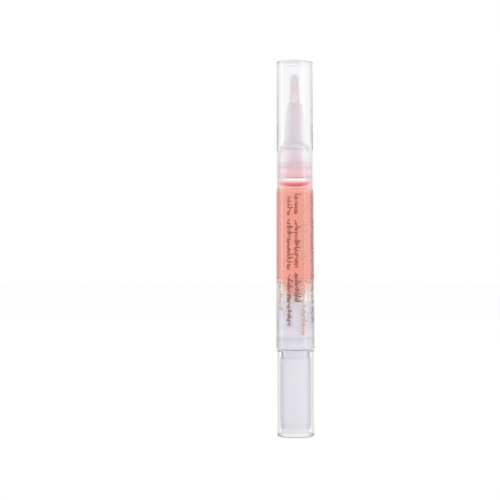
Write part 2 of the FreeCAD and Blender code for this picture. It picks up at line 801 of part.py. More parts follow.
def build_nozzle():
    """Frosted cone with a flange on the neck, a plug with two lands and a stepped channel."""
    body = new_body("nozzle")
    land = nozzle_land_radius
    waist = land - size.plug_waist
    tube = feed_tube_seat_radius
    channel = feed_tube_radius + size.channel_clearance
    lower_land = plug_foot + size.channel_lower_land
    upper_land = brush_socket_foot - size.channel_upper_land
    turn(body, "Cone", [
        (tube, plug_foot),
        (waist, plug_foot),
        (land, plug_foot + size.plug_waist),
        (land, plug_foot + size.plug_land_height),
        (waist, plug_foot + size.plug_land_height + size.plug_waist),
        (waist, neck_top - size.plug_land_height - size.plug_waist),
        (land, neck_top - size.plug_land_height),
        (land, neck_top),
        (neck_radius, neck_top),
        (neck_radius, nozzle_flange_top),
        (nozzle_cone_foot_radius, nozzle_cone_foot),
        (nozzle_cone_top_radius, nozzle_cone_top),
        (nozzle_rim_radius, nozzle_cone_top),
        (nozzle_rim_radius, nozzle_top),
        (brush_socket_radius, nozzle_top),
        (brush_socket_radius, brush_socket_foot),
        (tube, brush_socket_foot),
        (tube, upper_land),
        (channel, upper_land - (channel - tube)),
        (channel, lower_land + (channel - tube)),
        (tube, lower_land),
    ])
    soften(body, "RimRound", [(nozzle_rim_radius, nozzle_top)], size.rim_round)
    ring_level = neck_top - size.o_ring_drop
    half_groove = size.o_ring_cord / 2 + size.press_clearance
    groove = nozzle_land_radius - size.o_ring_cord - size.press_clearance
    far = nozzle_land_radius + size.cut_overrun
    turn(body, "SealGroove", [
        (groove, ring_level - half_groove),
        (far, ring_level - half_groove),
        (far, ring_level + half_groove),
        (groove, ring_level + half_groove),
    ], "Groove")
    return body


def build_nozzle_seal():
    """Rubber ring that seals the nozzle's plug in the neck."""
    body = new_body("nozzle_seal")
    cord = size.o_ring_cord / 2
    radii = {"Radius1": nozzle_land_radius - cord, "Radius2": cord}
    add_primitive(body, "Ring", "AdditiveTorus", neck_top - size.o_ring_drop, radii)
    return body


def build_feed_tube():
    """Thin tube that leads the oil from under the plug into the root of the brush."""
    body = new_body("feed_tube")
    outline = new_sketch(body, "TubeOutline", "XY_Plane", plug_foot)
    draw_circle(outline, feed_tube_radius)
    draw_circle(outline, feed_tube_radius - size.feed_tube_wall)
    extrude(body, "Tube", outline, feed_tube_top - plug_foot)
    return body


def build_ferrule():
    """Collar that binds the root of the brush in the nozzle's mouth."""
    body = new_body("brush_ferrule")
    outline = new_sketch(body, "CollarOutline", "XY_Plane", brush_socket_foot)
    draw_circle(outline, ferrule_radius)
    draw_circle(outline, ferrule_bore_radius)
    extrude(body, "Collar", outline, size.ferrule_height)
    return body


def build_brush_tuft():
    """Envelope of the bristles: bound root, flared mouth, long taper and rounded tip."""
    body = new_body("brush_tuft")
    root = tuft_root_radius
    mouth = brush_socket_radius - size.tuft_clearance
    tip = mouth - size.tuft_taper
    tip_height = size.tuft_length * TIP_LENGTH_SHARE
    tip_foot = tuft_top - tip_height
    tube_end = feed_tube_top + size.press_clearance
    tip_points = [
        (tip * radius_share, tip_foot + tip_height * height_share)
        for radius_share, height_share in zip(TIP_RADIUS_SHARES, TIP_HEIGHT_SHARES)
    ]
    turn(body, "Tuft", [
        (feed_tube_seat_radius, brush_socket_foot),
        (root, brush_socket_foot),
        (root, brush_socket_foot + size.ferrule_height),
        (mouth, nozzle_top),
        *tip_points,
        (0, tuft_top),
        (0, tube_end),
        (feed_tube_seat_radius, tube_end),
    ])
    return body


def build_cap():
    """Clear hood: a socket over the neck with a snap groove, and a drafted hollow above it."""
    body = new_body("cap")
    socket = cap_socket_radius
    socket_top = neck_top - size.cap_socket_drop
    upper = socket - size.cap_socket_step
    ceiling_radius = upper - size.cap_draft
    groove = socket + size.cap_groove_depth
    half_groove = size.bead_height / 2
    turn(body, "Hood", [
        (socket + size.cap_mouth_lead, shoulder),
        (cap_radius, shoulder),
        (cap_radius, cap_top),
        (0, cap_top),
        (0, cap_ceiling),
        (ceiling_radius, cap_ceiling),
        (upper, socket_top + size.cap_socket_slope),
        (socket, socket_top),
        (socket, bead_level + half_groove),
        (groove, bead_level + half_groove - size.bead_slope),
        (groove, bead_level - half_groove + size.bead_slope),
        (socket, bead_level - half_groove),
        (socket, shoulder + size.cap_mouth_lead),
    ])
    soften(body, "TopRound", [(cap_radius, cap_top)], size.cap_top_round)
    soften(body, "InnerRound", [(ceiling_radius, cap_ceiling)], size.cap_inner_round)
    soften(body, "MouthRound", [(cap_radius, shoulder)], size.cap_mouth_round)
    return body


PIECES = [
    build_knob_shell,
    build_drive_sleeve,
    build_end_plug,
    build_retaining_ring,
    build_ratchet_ring,
    build_pawl_ring,
    build_drive_nut,
    build_screw,
    build_piston_core,
    build_piston_seal,
    build_barrel,
    build_oil_fill,
    build_nozzle,
    build_nozzle_seal,
    build_feed_tube,
    build_ferrule,
    build_brush_tuft,
    build_cap,
]


def check_document():
    """Stops on any object that failed to build."""
    failed = [item.Name for item in doc.Objects if {"Invalid", "Error"} & set(item.State)]
    if failed:
        raise RuntimeError("These did not build: " + ", ".join(failed))


def export(body):
    """Writes one piece after checking its solid."""
    shape = body.Shape
    if shape.isNull() or not shape.isValid() or len(shape.Solids) != 1:
        raise RuntimeError(f"{body.Label} has no single valid solid")
    shape.exportStep(os.path.join("parts", f"{body.Label}.step"))
    print(f"{body.Label}: {shape.Volume:.2f} cubic mm")


bodies = [build() for build in PIECES]
doc.recompute()
check_document()
os.makedirs("parts", exist_ok=True)
for piece in bodies:
    export(piece)
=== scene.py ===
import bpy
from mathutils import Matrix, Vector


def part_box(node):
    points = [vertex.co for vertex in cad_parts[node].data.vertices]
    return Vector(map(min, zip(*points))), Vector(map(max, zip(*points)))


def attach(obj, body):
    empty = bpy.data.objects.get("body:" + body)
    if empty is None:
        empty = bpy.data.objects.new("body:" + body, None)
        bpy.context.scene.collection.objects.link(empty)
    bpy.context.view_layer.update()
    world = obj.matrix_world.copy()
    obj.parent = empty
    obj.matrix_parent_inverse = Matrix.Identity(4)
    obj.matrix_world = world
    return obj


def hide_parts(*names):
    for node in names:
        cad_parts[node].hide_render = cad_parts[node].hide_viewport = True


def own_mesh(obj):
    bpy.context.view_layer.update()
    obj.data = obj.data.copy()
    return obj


bl_info = {
    "name": "Nail Oil Pen",
    "version": (1, 0, 0),
    "blender": (4, 5, 0),
    "location": "View3D > Sidebar > Oil Pen",
    "description": "Clear, frosted and liquid finishes for a twist pen of nail oil",
    "category": "Object",
}

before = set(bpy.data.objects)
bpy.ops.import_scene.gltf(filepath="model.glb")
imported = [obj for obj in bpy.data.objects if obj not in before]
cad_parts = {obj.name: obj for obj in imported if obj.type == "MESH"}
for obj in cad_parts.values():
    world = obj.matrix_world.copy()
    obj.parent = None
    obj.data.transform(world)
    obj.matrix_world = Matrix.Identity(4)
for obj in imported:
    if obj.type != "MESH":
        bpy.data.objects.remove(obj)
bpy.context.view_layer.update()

import math

import bmesh
import bpy
from bpy.props import FloatProperty, FloatVectorProperty, IntProperty, PointerProperty
from mathutils import Vector

MM = 0.001


def span(node):
    """Outer radius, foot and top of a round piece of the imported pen."""
    low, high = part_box(node)
    return high.x, low.z, high.z


BARREL_FOOT_RADIUS, BARREL_FOOT, NECK_TOP = span("barrel")
CAP_RADIUS, SHOULDER, CAP_TOP = span("cap")
KNOB_RADIUS, KNOB_FLOOR, KNOB_TOP = span("knob_shell")
SEAL_RADIUS, SEAL_FOOT, SEAL_TOP = span("piston_seal")
OIL_RADIUS, OIL_FOOT, OIL_TOP = span("oil_fill")
FLANGE_RADIUS, PLUG_FOOT, NOZZLE_TOP = span("nozzle")
RING_RADIUS, RING_FOOT, RING_TOP = span("nozzle_seal")
COLLAR_RADIUS, COLLAR_FOOT, COLLAR_TOP = span("brush_ferrule")
TUBE_RADIUS, _, TUBE_TOP = span("feed_tube")
TUFT_RADIUS, TUFT_FOOT, TUFT_TOP = span("brush_tuft")


def length(name, description, millimetres):
    """A size that is typed in millimetres and kept in metres."""
    return FloatProperty(
        name=name, description=description, default=millimetres * MM, min=0.0, precision=6,
        unit="LENGTH",
    )


def colour(name, description, *shade):
    """A colour in linear light."""
    return FloatVectorProperty(
        name=name, description=description, default=shade, min=0.0, max=1.0, size=3,
        subtype="COLOR",
    )


class PenShellSizes(bpy.types.PropertyGroup):
    """Walls, steps and rounds of the turned pieces."""

    fit: length("Press Fit", "Gap between two pieces that are pressed together", 0.02)
    edge: length("Edge Round", "Small round on the moulded edges", 0.12)
    barrel_round: length("Barrel Round", "Round at the barrel's foot and shoulder", 0.25)
    setback: length("Shoulder Setback", "How far the shoulder stands out from the cap", 0.2)
    neck_wall: length("Neck Wall", "Wall of the barrel's neck", 0.9)
    cone_drop: length("Cone Drop", "From the shoulder down to the inner cone", 1.8)
    cone_height: length("Cone Height", "Height of the cone inside the shoulder", 1.4)
    bead_drop: length("Bead Drop", "From the neck's top down to the snap bead's middle", 3.9)
    bead_height: length("Bead Height", "Height of the snap bead", 1.0)
    bead_rise: length("Bead Rise", "How far the snap bead stands out from the neck", 0.19)
    bead_slope: length("Bead Slope", "Height of the bead's sloped sides", 0.3)
    cap_gap: length("Cap Gap", "Gap between the cap's socket and the neck", 0.25)
    cap_step: length("Cap Step", "Step inside the cap above its socket", 0.1)
    cap_step_drop: length("Cap Step Drop", "From the neck's top down to the cap's step", 1.1)
    cap_step_slope: length("Cap Step Slope", "Height of the sloped step in the cap", 0.4)
    cap_draft: length("Cap Draft", "How much the cap narrows inside up to its ceiling", 0.15)
    cap_ceiling: length("Cap Ceiling", "Thickness of the cap's top", 1.2)
    cap_top_round: length("Cap Top Round", "Round on the cap's top edge", 0.5)
    cap_inner_round: length("Cap Inner Round", "Round under the cap's ceiling", 0.6)
    cap_groove: length("Cap Groove", "Depth of the snap groove in the cap", 0.15)
    cap_lead: length("Cap Mouth Lead", "Chamfer inside the cap's mouth", 0.3)
    cap_mouth_round: length("Cap Mouth Round", "Round on the cap's mouth", 0.2)
    cap_rest_gap: length("Cap Rest Gap", "Hair gap between the cap and the shoulder", 0.03)
    gate_radius: length("Gate Radius", "Radius of the gate marks", 0.9)
    gate_depth: length("Gate Depth", "Depth of the gate marks", 0.25)
    knob_wall: length("Knob Wall", "Wall of the knob's clear shell", 1.1)
    knob_floor: length("Knob Floor", "Floor of the knob's clear shell", 1.3)
    knob_mouth: length("Knob Mouth", "Height over which the knob's mouth opens", 0.5)
    knob_lip: length("Knob Lip", "Width of the knob's rim", 0.8)
    knob_round: length("Knob Round", "Round at the knob's foot", 0.7)


class PenNozzleSizes(bpy.types.PropertyGroup):
    """Steps of the frosted nozzle."""

    waist: length("Plug Waist", "How far the plug is relieved between its lands", 0.12)
    land: length("Land", "Height of the plug's lands", 1.3)
    flange: length("Flange", "Height of the flange", 1.5)
    flange_edge: length("Flange Edge", "Height of the flange's upright edge", 0.5)
    flange_slope: length("Flange Slope", "Width of the slope from the flange's edge", 0.75)
    foot_rise: length("Foot Rise", "Slope from the flange to the cone's foot", 0.6)
    cone_foot_radius: length("Cone Foot Radius", "Radius of the cone's foot", 3.9)
    cone_top_radius: length("Cone Top Radius", "Radius of the cone's top", 3.15)
    rim_radius: length("Rim Radius", "Radius of the rim round the brush", 2.85)
    rim_height: length("Rim Height", "Height of the rim", 2.8)
    rim_round: length("Rim Round", "Round on the rim's edge", 0.3)
    channel_radius: length("Channel Radius", "Radius of the channel in the cone", 1.45)
    channel_foot: length("Channel Foot", "From the plug's foot up to the channel", 4.0)
    channel_roof: length("Channel Roof", "Between the channel and the brush's socket", 1.4)
    ring_round: length("Ring Round", "Round on the pressed sealing ring", 0.08)


class PenOilSizes(bpy.types.PropertyGroup):
    """Form of the oil."""

    cup_radius: length("Cup Radius", "Radius of the oil in the piston's cup", 3.36)
    cup_mouth: length("Cup Mouth", "Radius of the oil at the mouth of the cup", 5.04)
    meniscus: length("Meniscus", "How far the oil climbs up the neck's wall", 1.9)
    seam: length("Seam", "Hair gap between the parts of the oil", 0.004)
    squashed: length("Squashed", "What the emptied column keeps of its height", 0.1)


class PenBrushSizes(bpy.types.PropertyGroup):
    """Number and form of the bristles."""

    filament_count: IntProperty(
        name="Bristles", description="Number of bristles", default=420, min=20, max=900
    )
    filament_radius: length("Bristle Radius", "Radius of one bristle", 0.062)
    root_inset: length("Root Inset", "How far the roots lie inside the collar's outside", 0.37)
    tube_gap: length("Tube Gap", "Gap between the feed tube and the bristles", 0.02)
    closing: length("Closing", "Height over which the bristles close over the tube", 2.2)
    taper: length("Taper", "How much the bundle narrows from its mouth to its tip", 0.4)
    tip_height: length("Tip Height", "Height of the rounded tip", 1.7)
    heart_inset: length("Heart Inset", "How far the wet heart lies under the bristles", 0.22)
    seed: IntProperty(name="Seed", description="Seed of the small irregularities", default=7)


class PenPrintSizes(bpy.types.PropertyGroup):
    """Plain printed ticks along the barrel."""

    pitch: length("Pitch", "From one tick to the next along a line", 0.52)
    height: length("Height", "Height of the tallest ticks", 2.6)
    stroke: length("Stroke", "Width of a tick", 0.36)
    thickness: length("Thickness", "Thickness of the ink", 0.02)
    lift: length("Lift", "Gap between the ink and the wall", 0.004)
    patch: length("Patch", "Length of the bare and the printed stretches", 6.25)
    spaces: FloatProperty(
        name="Spaces", description="Share of the lines left bare", default=0.14, min=0.0, max=0.9,
        subtype="FACTOR",
    )
    seed: IntProperty(name="Seed", description="Seed of the ticks", default=11)


class PenColours(bpy.types.PropertyGroup):
    """Colours of the finishes, in linear light."""

    clear: colour("Clear", "Clear plastic met square on", 0.957, 0.96, 0.97)
    # Painted shade: the grey outline of the clear walls, standing in for the dark edges that
    # refraction would show.
    clear_painted_edge_shade: colour("Clear Edge", "Clear plastic at its outline", 0.46, 0.47, 0.495)
    # Painted shade on the cap's thick top.
    clear_ceiling_painted_shade: colour("Clear Ceiling", "The cap's thick top", 0.82, 0.82, 0.835)
    # Painted shade, less grey: the outline where the neck fills the cap and on the cap's thick
    # top.
    clear_filled_painted_edge_shade: colour("Clear Filled", "Outline where the neck fills the cap", 0.70, 0.70, 0.72)
    clear_corner: colour("Clear Corner", "Shade in the knob's thick foot", 0.55, 0.55, 0.56)
    # Painted: the oil's red seen through the wall, multiplied onto the barrel's outline.
    painted_oil_red: colour("Blush", "What the oil adds to the barrel's outline", 0.85, 0.68, 0.82)
    film: colour("Film", "Thin film of oil on the bore over the oil", 1.0, 0.89, 0.87)
    frost: colour("Frost", "Frosted plastic", 0.80, 0.71, 0.765)
    frost_stained: colour("Frost Stained", "Frosted plastic next to the oil", 1.0, 0.55, 0.58)
    # Painted light: the stained plastic paler at its outline.
    stained_painted_edge_light: colour("Stained Edge", "Stained plastic at its outline", 1.0, 0.74, 0.80)
    # Painted light: the plug's sides paler, as if lit through the neck.
    frost_plug_painted_light: colour("Frost Plug", "Sides of the plug, seen through the neck", 1.0, 0.97, 1.0)
    # Painted light: frosted plastic paler at its outline.
    frost_painted_edge_light: colour("Frost Edge", "Frosted plastic at its outline", 0.90, 0.89, 0.915)
    sleeve: colour("Sleeve", "Frosted drive sleeve", 0.88, 0.87, 0.91)
    # Painted shade: a bluer grey at the sleeve's outline.
    sleeve_painted_edge_shade: colour("Sleeve Edge", "Drive sleeve at its outline", 0.56, 0.59, 0.67)
    # Painted light: the sleeve's foot brightened as if lit from the floor.
    sleeve_foot_painted_light: colour("Sleeve Foot", "Foot of the sleeve, next to its plug", 1.0, 1.0, 1.0)
    # Painted shade: dark at the outline of the sleeve's neck.
    neck_painted_shade: colour("Neck Shade", "Outline of the drive sleeve's neck", 0.14, 0.145, 0.17)
    seal: colour("Seal", "Soft piston seal", 0.94, 0.87, 0.83)
    # Painted glow: the oil in the cup shining through the seal.
    seal_painted_oil_glow: colour("Seal Stained", "Piston seal next to the oil", 0.98, 0.40, 0.34)
    works: colour("Works", "Drive nut, screw and piston core", 0.84, 0.81, 0.86)
    # Painted shade: a bluer grey at the outline of the nut and rings.
    works_painted_edge_shade: colour("Works Edge", "Drive nut and screw at their outline", 0.66, 0.69, 0.80)
    grease: colour("Grease", "Pale grease below the piston", 0.93, 0.905, 0.945)
    # Painted shade: a bluer grey at the grease's outline.
    grease_painted_edge_shade: colour("Grease Edge", "Pale grease at its outline", 0.86, 0.885, 0.97)
    tube: colour("Tube", "Feed tube with oil in it", 0.90, 0.70, 0.75)
    oil: colour("Oil", "What the oil lets through, as its absorption colour", 0.951, 0.18, 0.0)
    oil_density: FloatProperty(
        name="Oil Density", description="Absorption of the oil", default=124.0, min=0.0
    )
    # Painted pink shade on light that passes the neck at a slant beside the air over the oil.
    neck_painted_pink_shade: colour("Veil", "The neck at a slant beside the air over the oil", 0.93, 0.86, 0.87)
    foam: colour("Foam", "Fine foam where the oil climbs the wall", 0.99, 0.54, 0.58)
    # Painted shade: the foam darker low in the bowl.
    foam_deep_painted_shade: colour("Foam Deep", "The foam low in the bowl of the oil's top", 0.78, 0.30, 0.34)
    # Painted light: the foam paler at the pen's outline.
    foam_sides_painted_light: colour("Foam Sides", "The foam at the pen's outline", 0.96, 0.74, 0.80)
    # The wet root, painted paler against the shade of the nozzle's rim.
    bristle_root_wet_and_painted_light: colour("Bristle Root", "Wet root of the bristles", 0.97, 0.87, 0.87)
    bristle: colour("Bristle", "Bristles", 0.89, 0.755, 0.795)
    bristle_tip: colour("Bristle Tip", "Dry tip of the bristles", 0.84, 0.83, 0.85)
    ink_dark: colour("Dark Ink", "Ink of the front lines", 0.15, 0.038, 0.022)
    ink_olive: colour("Olive Ink", "Ink of the line at the right", 0.16, 0.14, 0.10)
    ink_gold: colour("Gold Ink", "Ink of the other lines", 0.42, 0.275, 0.18)


class PenStageSettings(bpy.types.PropertyGroup):
    """Camera, floor and lamps."""

    camera_distance: length("Camera Distance", "From the pen to the camera", 700.0)
    camera_side: length("Camera Side", "How far left of the pen the camera stands", 16.12)
    camera_height: length("Camera Height", "Height of the camera", 66.6)
    frame_width: length("Frame Width", "Width of the picture at the pen", 178.5)
    roll: FloatProperty(
        name="Roll", description="Roll of the camera", default=math.radians(0.204),
        subtype="ANGLE",
    )
    floor_size: length("Floor Size", "Side of the floor", 6000.0)
    floor_drop: length("Floor Drop", "How far the floor lies under the pen", 0.02)
    room_light: FloatProperty(
        name="Room Light", description="Strength of the even light", default=0.95, min=0.0
    )


# Sides of a full turn, steps of a round, and the most of an edge that a round takes up.
SIDES = 144
ARC_STEPS = 7
MOST_OF_EDGE = 0.42
# A short straight stretch beside each round keeps the shading of flat faces even.
HOLD = 0.03 * MM
ON_AXIS = 1e-7
SHARP = math.radians(24)


def eased(corners):
    """Replaces each corner (radius, level, round) of a closed outline by a small arc.

    A corner with no round is (radius, level) and stays sharp.
    """
    points = []
    count = len(corners)
    for index, (radius, level, *ease) in enumerate(corners):
        here = Vector((radius, level))
        before = Vector(corners[index - 1][:2]) - here
        after = Vector(corners[(index + 1) % count][:2]) - here
        if not ease or before.length < HOLD or after.length < HOLD:
            points.append(here)
            continue
        reach = ease[0] / math.tan(before.angle(after) / 2)
        reach = min(reach, MOST_OF_EDGE * before.length, MOST_OF_EDGE * after.length)
        hold = min(HOLD, reach / 3)
        start = here + before.normalized() * reach
        end = here + after.normalized() * reach
        points.append(start + before.normalized() * hold)
        for step in range(ARC_STEPS + 1):
            share = step / ARC_STEPS
            points.append(start.lerp(here, share).lerp(here.lerp(end, share), share))
        points.append(end + after.normalized() * hold)
    return points


def ring_of(shape, point, sides):
    """Vertices of one ring, or the single one where the outline meets the axis."""
    if point.x < ON_AXIS:
        return [shape.verts.new((0.0, 0.0, point.y))]
    turns = [2 * math.pi * side / sides for side in range(sides)]
    return [
        shape.verts.new((point.x * math.cos(turn), point.x * math.sin(turn), point.y))
        for turn in turns
    ]


def bridge(shape, ring, following, sides):
    """Faces between two neighbouring rings."""
    if len(ring) == 1 and len(following) == 1:
        return
    for side in range(sides):
        other = (side + 1) % sides
        if len(ring) == 1:
            shape.faces.new((ring[0], following[side], following[other]))
        elif len(following) == 1:
            shape.faces.new((ring[side], following[0], ring[other]))
        else:
            shape.faces.new((ring[side], following[side], following[other], ring[other]))


def new_piece(name, mesh):
    """An object at the origin that shows a mesh."""
    piece = bpy.data.objects.new(name, mesh)
    bpy.context.scene.collection.objects.link(piece)
    return piece


def lathe(name, corners, materials, slot_of=None, sides=SIDES):
    """Turns a closed outline about Z. slot_of gives a face's slot from its radius and level."""
    shape = bmesh.new()
    rings = [ring_of(shape, point, sides) for point in eased(corners)]
    for index, ring in enumerate(rings):
        bridge(shape, ring, rings[(index + 1) % len(rings)], sides)
    bmesh.ops.recalc_face_normals(shape, faces=shape.faces)
    if slot_of is not None:
        for face in shape.faces:
            centre = face.calc_center_median()
            face.material_index = slot_of(math.hypot(centre.x, centre.y), centre.z)
    mesh = bpy.data.meshes.new(name)
    shape.to_mesh(mesh)
    shape.free()
    for material in materials:
        mesh.materials.append(material)
    mesh.shade_smooth()
    mesh.set_sharp_from_angle(angle=SHARP)
    return new_piece(name, mesh)


class NodeTree:
    """A node tree that is built in code."""

    def __init__(self, tree):
        self.tree = tree
        tree.nodes.clear()

    def put(self, socket, value):
        """Links an input or sets its plain value. A colour is given without its alpha."""
        if isinstance(value, bpy.types.NodeSocket):
            self.tree.links.new(value, socket)
        elif socket.type == "RGBA":
            socket.default_value = (*value, 1.0)
        else:
            socket.default_value = value

    def node(self, kind, inputs=None, **settings):
        """A new node with its settings, then its inputs by place or name."""
        node = self.tree.nodes.new(kind)
        for key, value in settings.items():
            setattr(node, key, value)
        for key, value in (inputs or {}).items():
            self.put(node.inputs[key], value)
        return node

    def result(self, kind, inputs=None, **settings):
        """The first output of a new node."""
        return self.node(kind, inputs, **settings).outputs[0]

    def maths(self, operation, first, second=0.0):
        """One operation on two numbers or sockets."""
        return self.result("ShaderNodeMath", {0: first, 1: second}, operation=operation)

    def add(self, first, second):
        """The sum of two numbers or sockets."""
        return self.maths("ADD", first, second)

    def less(self, first, second):
        """The first number without the second."""
        return self.maths("SUBTRACT", first, second)

    def times(self, first, *others):
        """The product of all the numbers or sockets."""
        for other in others:
            first = self.maths("MULTIPLY", first, other)
        return first

    def remap(self, source, low, high, out_low=0.0, out_high=1.0, curve="LINEAR"):
        """Maps one range of numbers to another, and holds the ends."""
        inputs = {0: source, 1: low, 2: high, 3: out_low, 4: out_high}
        return self.result("ShaderNodeMapRange", inputs, interpolation_type=curve)

    def split(self, vector):
        """The three numbers of a vector."""
        return self.node("ShaderNodeSeparateXYZ", {0: vector}).outputs

    def join(self, x, y, z):
        """A vector of three numbers."""
        return self.result("ShaderNodeCombineXYZ", {0: x, 1: y, 2: z})


WHITE = (1.0, 1.0, 1.0)
PLASTIC_IOR = 1.49
OIL_IOR = 1.47
# Depths of the bumps in plastic and ink.
RIPPLE = 0.02 * MM
GRAIN = 0.01 * MM
INK_GRAIN = 0.004 * MM


class ShaderTree(NodeTree):
    """The tree of a material or of the world."""

    def __init__(self, owner, output):
        owner.use_nodes = True
        super().__init__(owner.node_tree)
        self.exit = self.node(output)

    def shader(self, kind, **values):
        """A shader of some kind, with its inputs by name."""
        names = {key: key.replace("_", " ").title().replace("Ior", "IOR") for key in values}
        return self.result(kind, {names[key]: values[key] for key in values})

    def blend(self, share, first, second):
        """Mixes two shaders."""
        return self.result("ShaderNodeMixShader", {0: share, 1: first, 2: second})

    def rays(self, *kinds):
        """1 for rays of the named kinds."""
        path = self.node("ShaderNodeLightPath").outputs
        found = path[f"Is {kinds[0]} Ray"]
        for kind in kinds[1:]:
            found = self.maths("MAXIMUM", found, path[f"Is {kind} Ray"])
        return found


class Finish(ShaderTree):
    """A material's node tree, with the nodes that the pen's finishes share."""

    def __init__(self, name):
        self.material = bpy.data.materials.new(name)
        super().__init__(self.material, "ShaderNodeOutputMaterial")
        coordinates = self.node("ShaderNodeTexCoord").outputs
        self.places = coordinates["Object"]
        self.normals = coordinates["Normal"]

    def noise(self, scale, along=1.0, across=1.0, detail=2.0, roughness=0.5):
        """Soft noise on the piece's own coordinates, stretched along and across its axis."""
        places = self.result("ShaderNodeMapping", {
            "Vector": self.places, "Scale": (across, across, along),
        })
        return self.result("ShaderNodeTexNoise", {
            "Vector": places, "Scale": scale, "Detail": detail, "Roughness": roughness,
        })

    def mix(self, share, first, second, way="MIX"):
        """Mixes two colours."""
        inputs = {0: share, 6: first, 7: second}
        return self.node("ShaderNodeMix", inputs, data_type="RGBA", blend_type=way).outputs[2]

    def mottle(self, pattern, body, other, share, most, low=0.35, high=0.75):
        """Works a share of another colour into a body colour, by a pattern."""
        changed = self.mix(share, body, other)
        return self.mix(self.remap(pattern, low, high, 0.0, most), body, changed)

    def level(self, place, low, high):
        """0 at the low height and 1 at the high one, both in millimetres from a level."""
        return self.remap(self.split(self.places)[2], place + low * MM, place + high * MM)

    def away(self, low, high, out_low=0.0, out_high=1.0):
        """Maps the distance from the pen's axis, in millimetres."""
        across, deep = self.split(self.places)[:2]
        square = self.add(self.times(across, across), self.times(deep, deep))
        return self.remap(self.maths("SQRT", square), low * MM, high * MM, out_low, out_high)

    def facing(self, low, high):
        """0 where the surface faces the eye and 1 at its outline."""
        weight = self.node("ShaderNodeLayerWeight", {"Blend": 0.5})
        return self.remap(weight.outputs["Facing"], low, high)

    def upright(self, low, high):
        """1 on upright faces and 0 on level ones."""
        tilt = self.maths("ABSOLUTE", self.split(self.normals)[2])
        return self.remap(tilt, low, high, 1.0, 0.0)

    def bump(self, height, strength, distance=GRAIN):
        """A bump from a height."""
        return self.result("ShaderNodeBump", {
            "Strength": strength, "Distance": distance, "Height": height,
        })

    def principled(self, **values):
        """The main shader, with its inputs by name."""
        return self.shader("ShaderNodeBsdfPrincipled", **values)

    def see_through(self, tint=WHITE):
        """A shader that lets light straight through."""
        return self.shader("ShaderNodeBsdfTransparent", color=tint)

    def with_open_lamps(self, shader, tint, buried=False):
        """Lets light from the lamps through to the pieces inside.

        A buried wall bends no light while another clear wall lies in front of it.
        """
        passing = self.rays("Shadow", "Diffuse")
        if buried:
            passing = self.maths("MAXIMUM", passing, self.less(1.0, self.rays("Camera")))
        return self.blend(passing, shader, self.see_through(tint))

    def end(self, shader, volume=None):
        """Ends the tree and gives the material."""
        self.put(self.exit.inputs["Surface"], shader)
        if volume is not None:
            self.put(self.exit.inputs["Volume"], volume)
        return self.material


def clear_plastic(finish, body, tint=(0.97, 0.97, 0.975), buried=False):
    """Clear moulded plastic with faint flow ripples and fine wear."""
    flow = finish.noise(420.0, along=0.22)
    wear = finish.noise(2600.0, along=0.12, detail=3.0)
    shader = finish.principled(
        base_color=body,
        roughness=finish.remap(wear, 0.42, 0.78, 0.012, 0.04),
        ior=PLASTIC_IOR,
        transmission_weight=1.0,
        normal=finish.bump(flow, 0.04, RIPPLE),
    )
    return finish.end(finish.with_open_lamps(shader, tint, buried))


def clear_skin(colours):
    """The outer wall, with painted shade: grey at its outline, less grey where the neck fills the
    cap.

    The cap's top and the knob's foot are thick and get painted shade, and a painted red of the oil
    seen through the wall tints the outline.
    """
    finish = Finish("clear_skin")
    neck_inside = finish.times(
        finish.level(SHOULDER, -0.2, 0.6), finish.level(NECK_TOP, 7.0, -1.5)
    )
    # Painted shade on the cap's thick top.
    thick_top = finish.level(CAP_TOP, -1.45, -1.05)
    # Painted shade: grey at the outline, less grey where the neck fills the cap and on the thick
    # top.
    edge = finish.mix(neck_inside, colours.clear_painted_edge_shade, colours.clear_filled_painted_edge_shade)
    edge = finish.mix(thick_top, edge, colours.clear_filled_painted_edge_shade)
    front = finish.mix(thick_top, colours.clear, colours.clear_ceiling_painted_shade)
    outline = finish.times(
        finish.facing(0.36, 0.6), finish.facing(1.15, 0.62), finish.upright(0.02, 0.4)
    )
    body = finish.mix(outline, front, edge)
    # Painted shade in the knob's thick foot.
    foot = finish.times(finish.level(KNOB_FLOOR, 1.9, 1.3), finish.facing(0.25, 0.36))
    body = finish.mix(foot, body, colours.clear_corner, "MULTIPLY")
    # Painted: the oil's red seen through the wall, put on the outline beside the oil.
    oil_inside = finish.times(
        finish.level(SEAL_TOP, -1.5, -0.5), finish.level(SHOULDER, 0.0, -0.5),
        finish.facing(0.3, 0.43),
    )
    return clear_plastic(finish, finish.mix(oil_inside, body, colours.painted_oil_red, "MULTIPLY"))


def clear_bore(colours):
    """The inner wall of a clear piece, which has no outline of its own."""
    return clear_plastic(Finish("clear_bore"), colours.clear)


def filmed_bore(colours):
    """The bore beside the air over the oil, with a thin film left on it."""
    return clear_plastic(Finish("filmed_bore"), colours.film)


def clear_neck(colours):
    """The neck inside the cap, with a painted pink shade at a slant beside the air over the oil.
    """
    finish = Finish("clear_neck")
    air_inside = finish.times(
        finish.level(OIL_TOP, -0.2, 0.1), finish.level(PLUG_FOOT, 0.3, 0.0),
        finish.facing(0.12, 0.165),
    )
    # Painted pink shade on light crossing the neck at a slant beside the air over the oil.
    tint = finish.mix(air_inside, (0.995, 0.995, 0.995), colours.neck_painted_pink_shade)
    return clear_plastic(finish, colours.clear, tint, buried=True)


def wetted_wall(colours):
    """A wall where oil wets it: oil and plastic bend light alike, so nothing shows there."""
    finish = Finish("wetted_wall")
    return finish.end(finish.see_through())


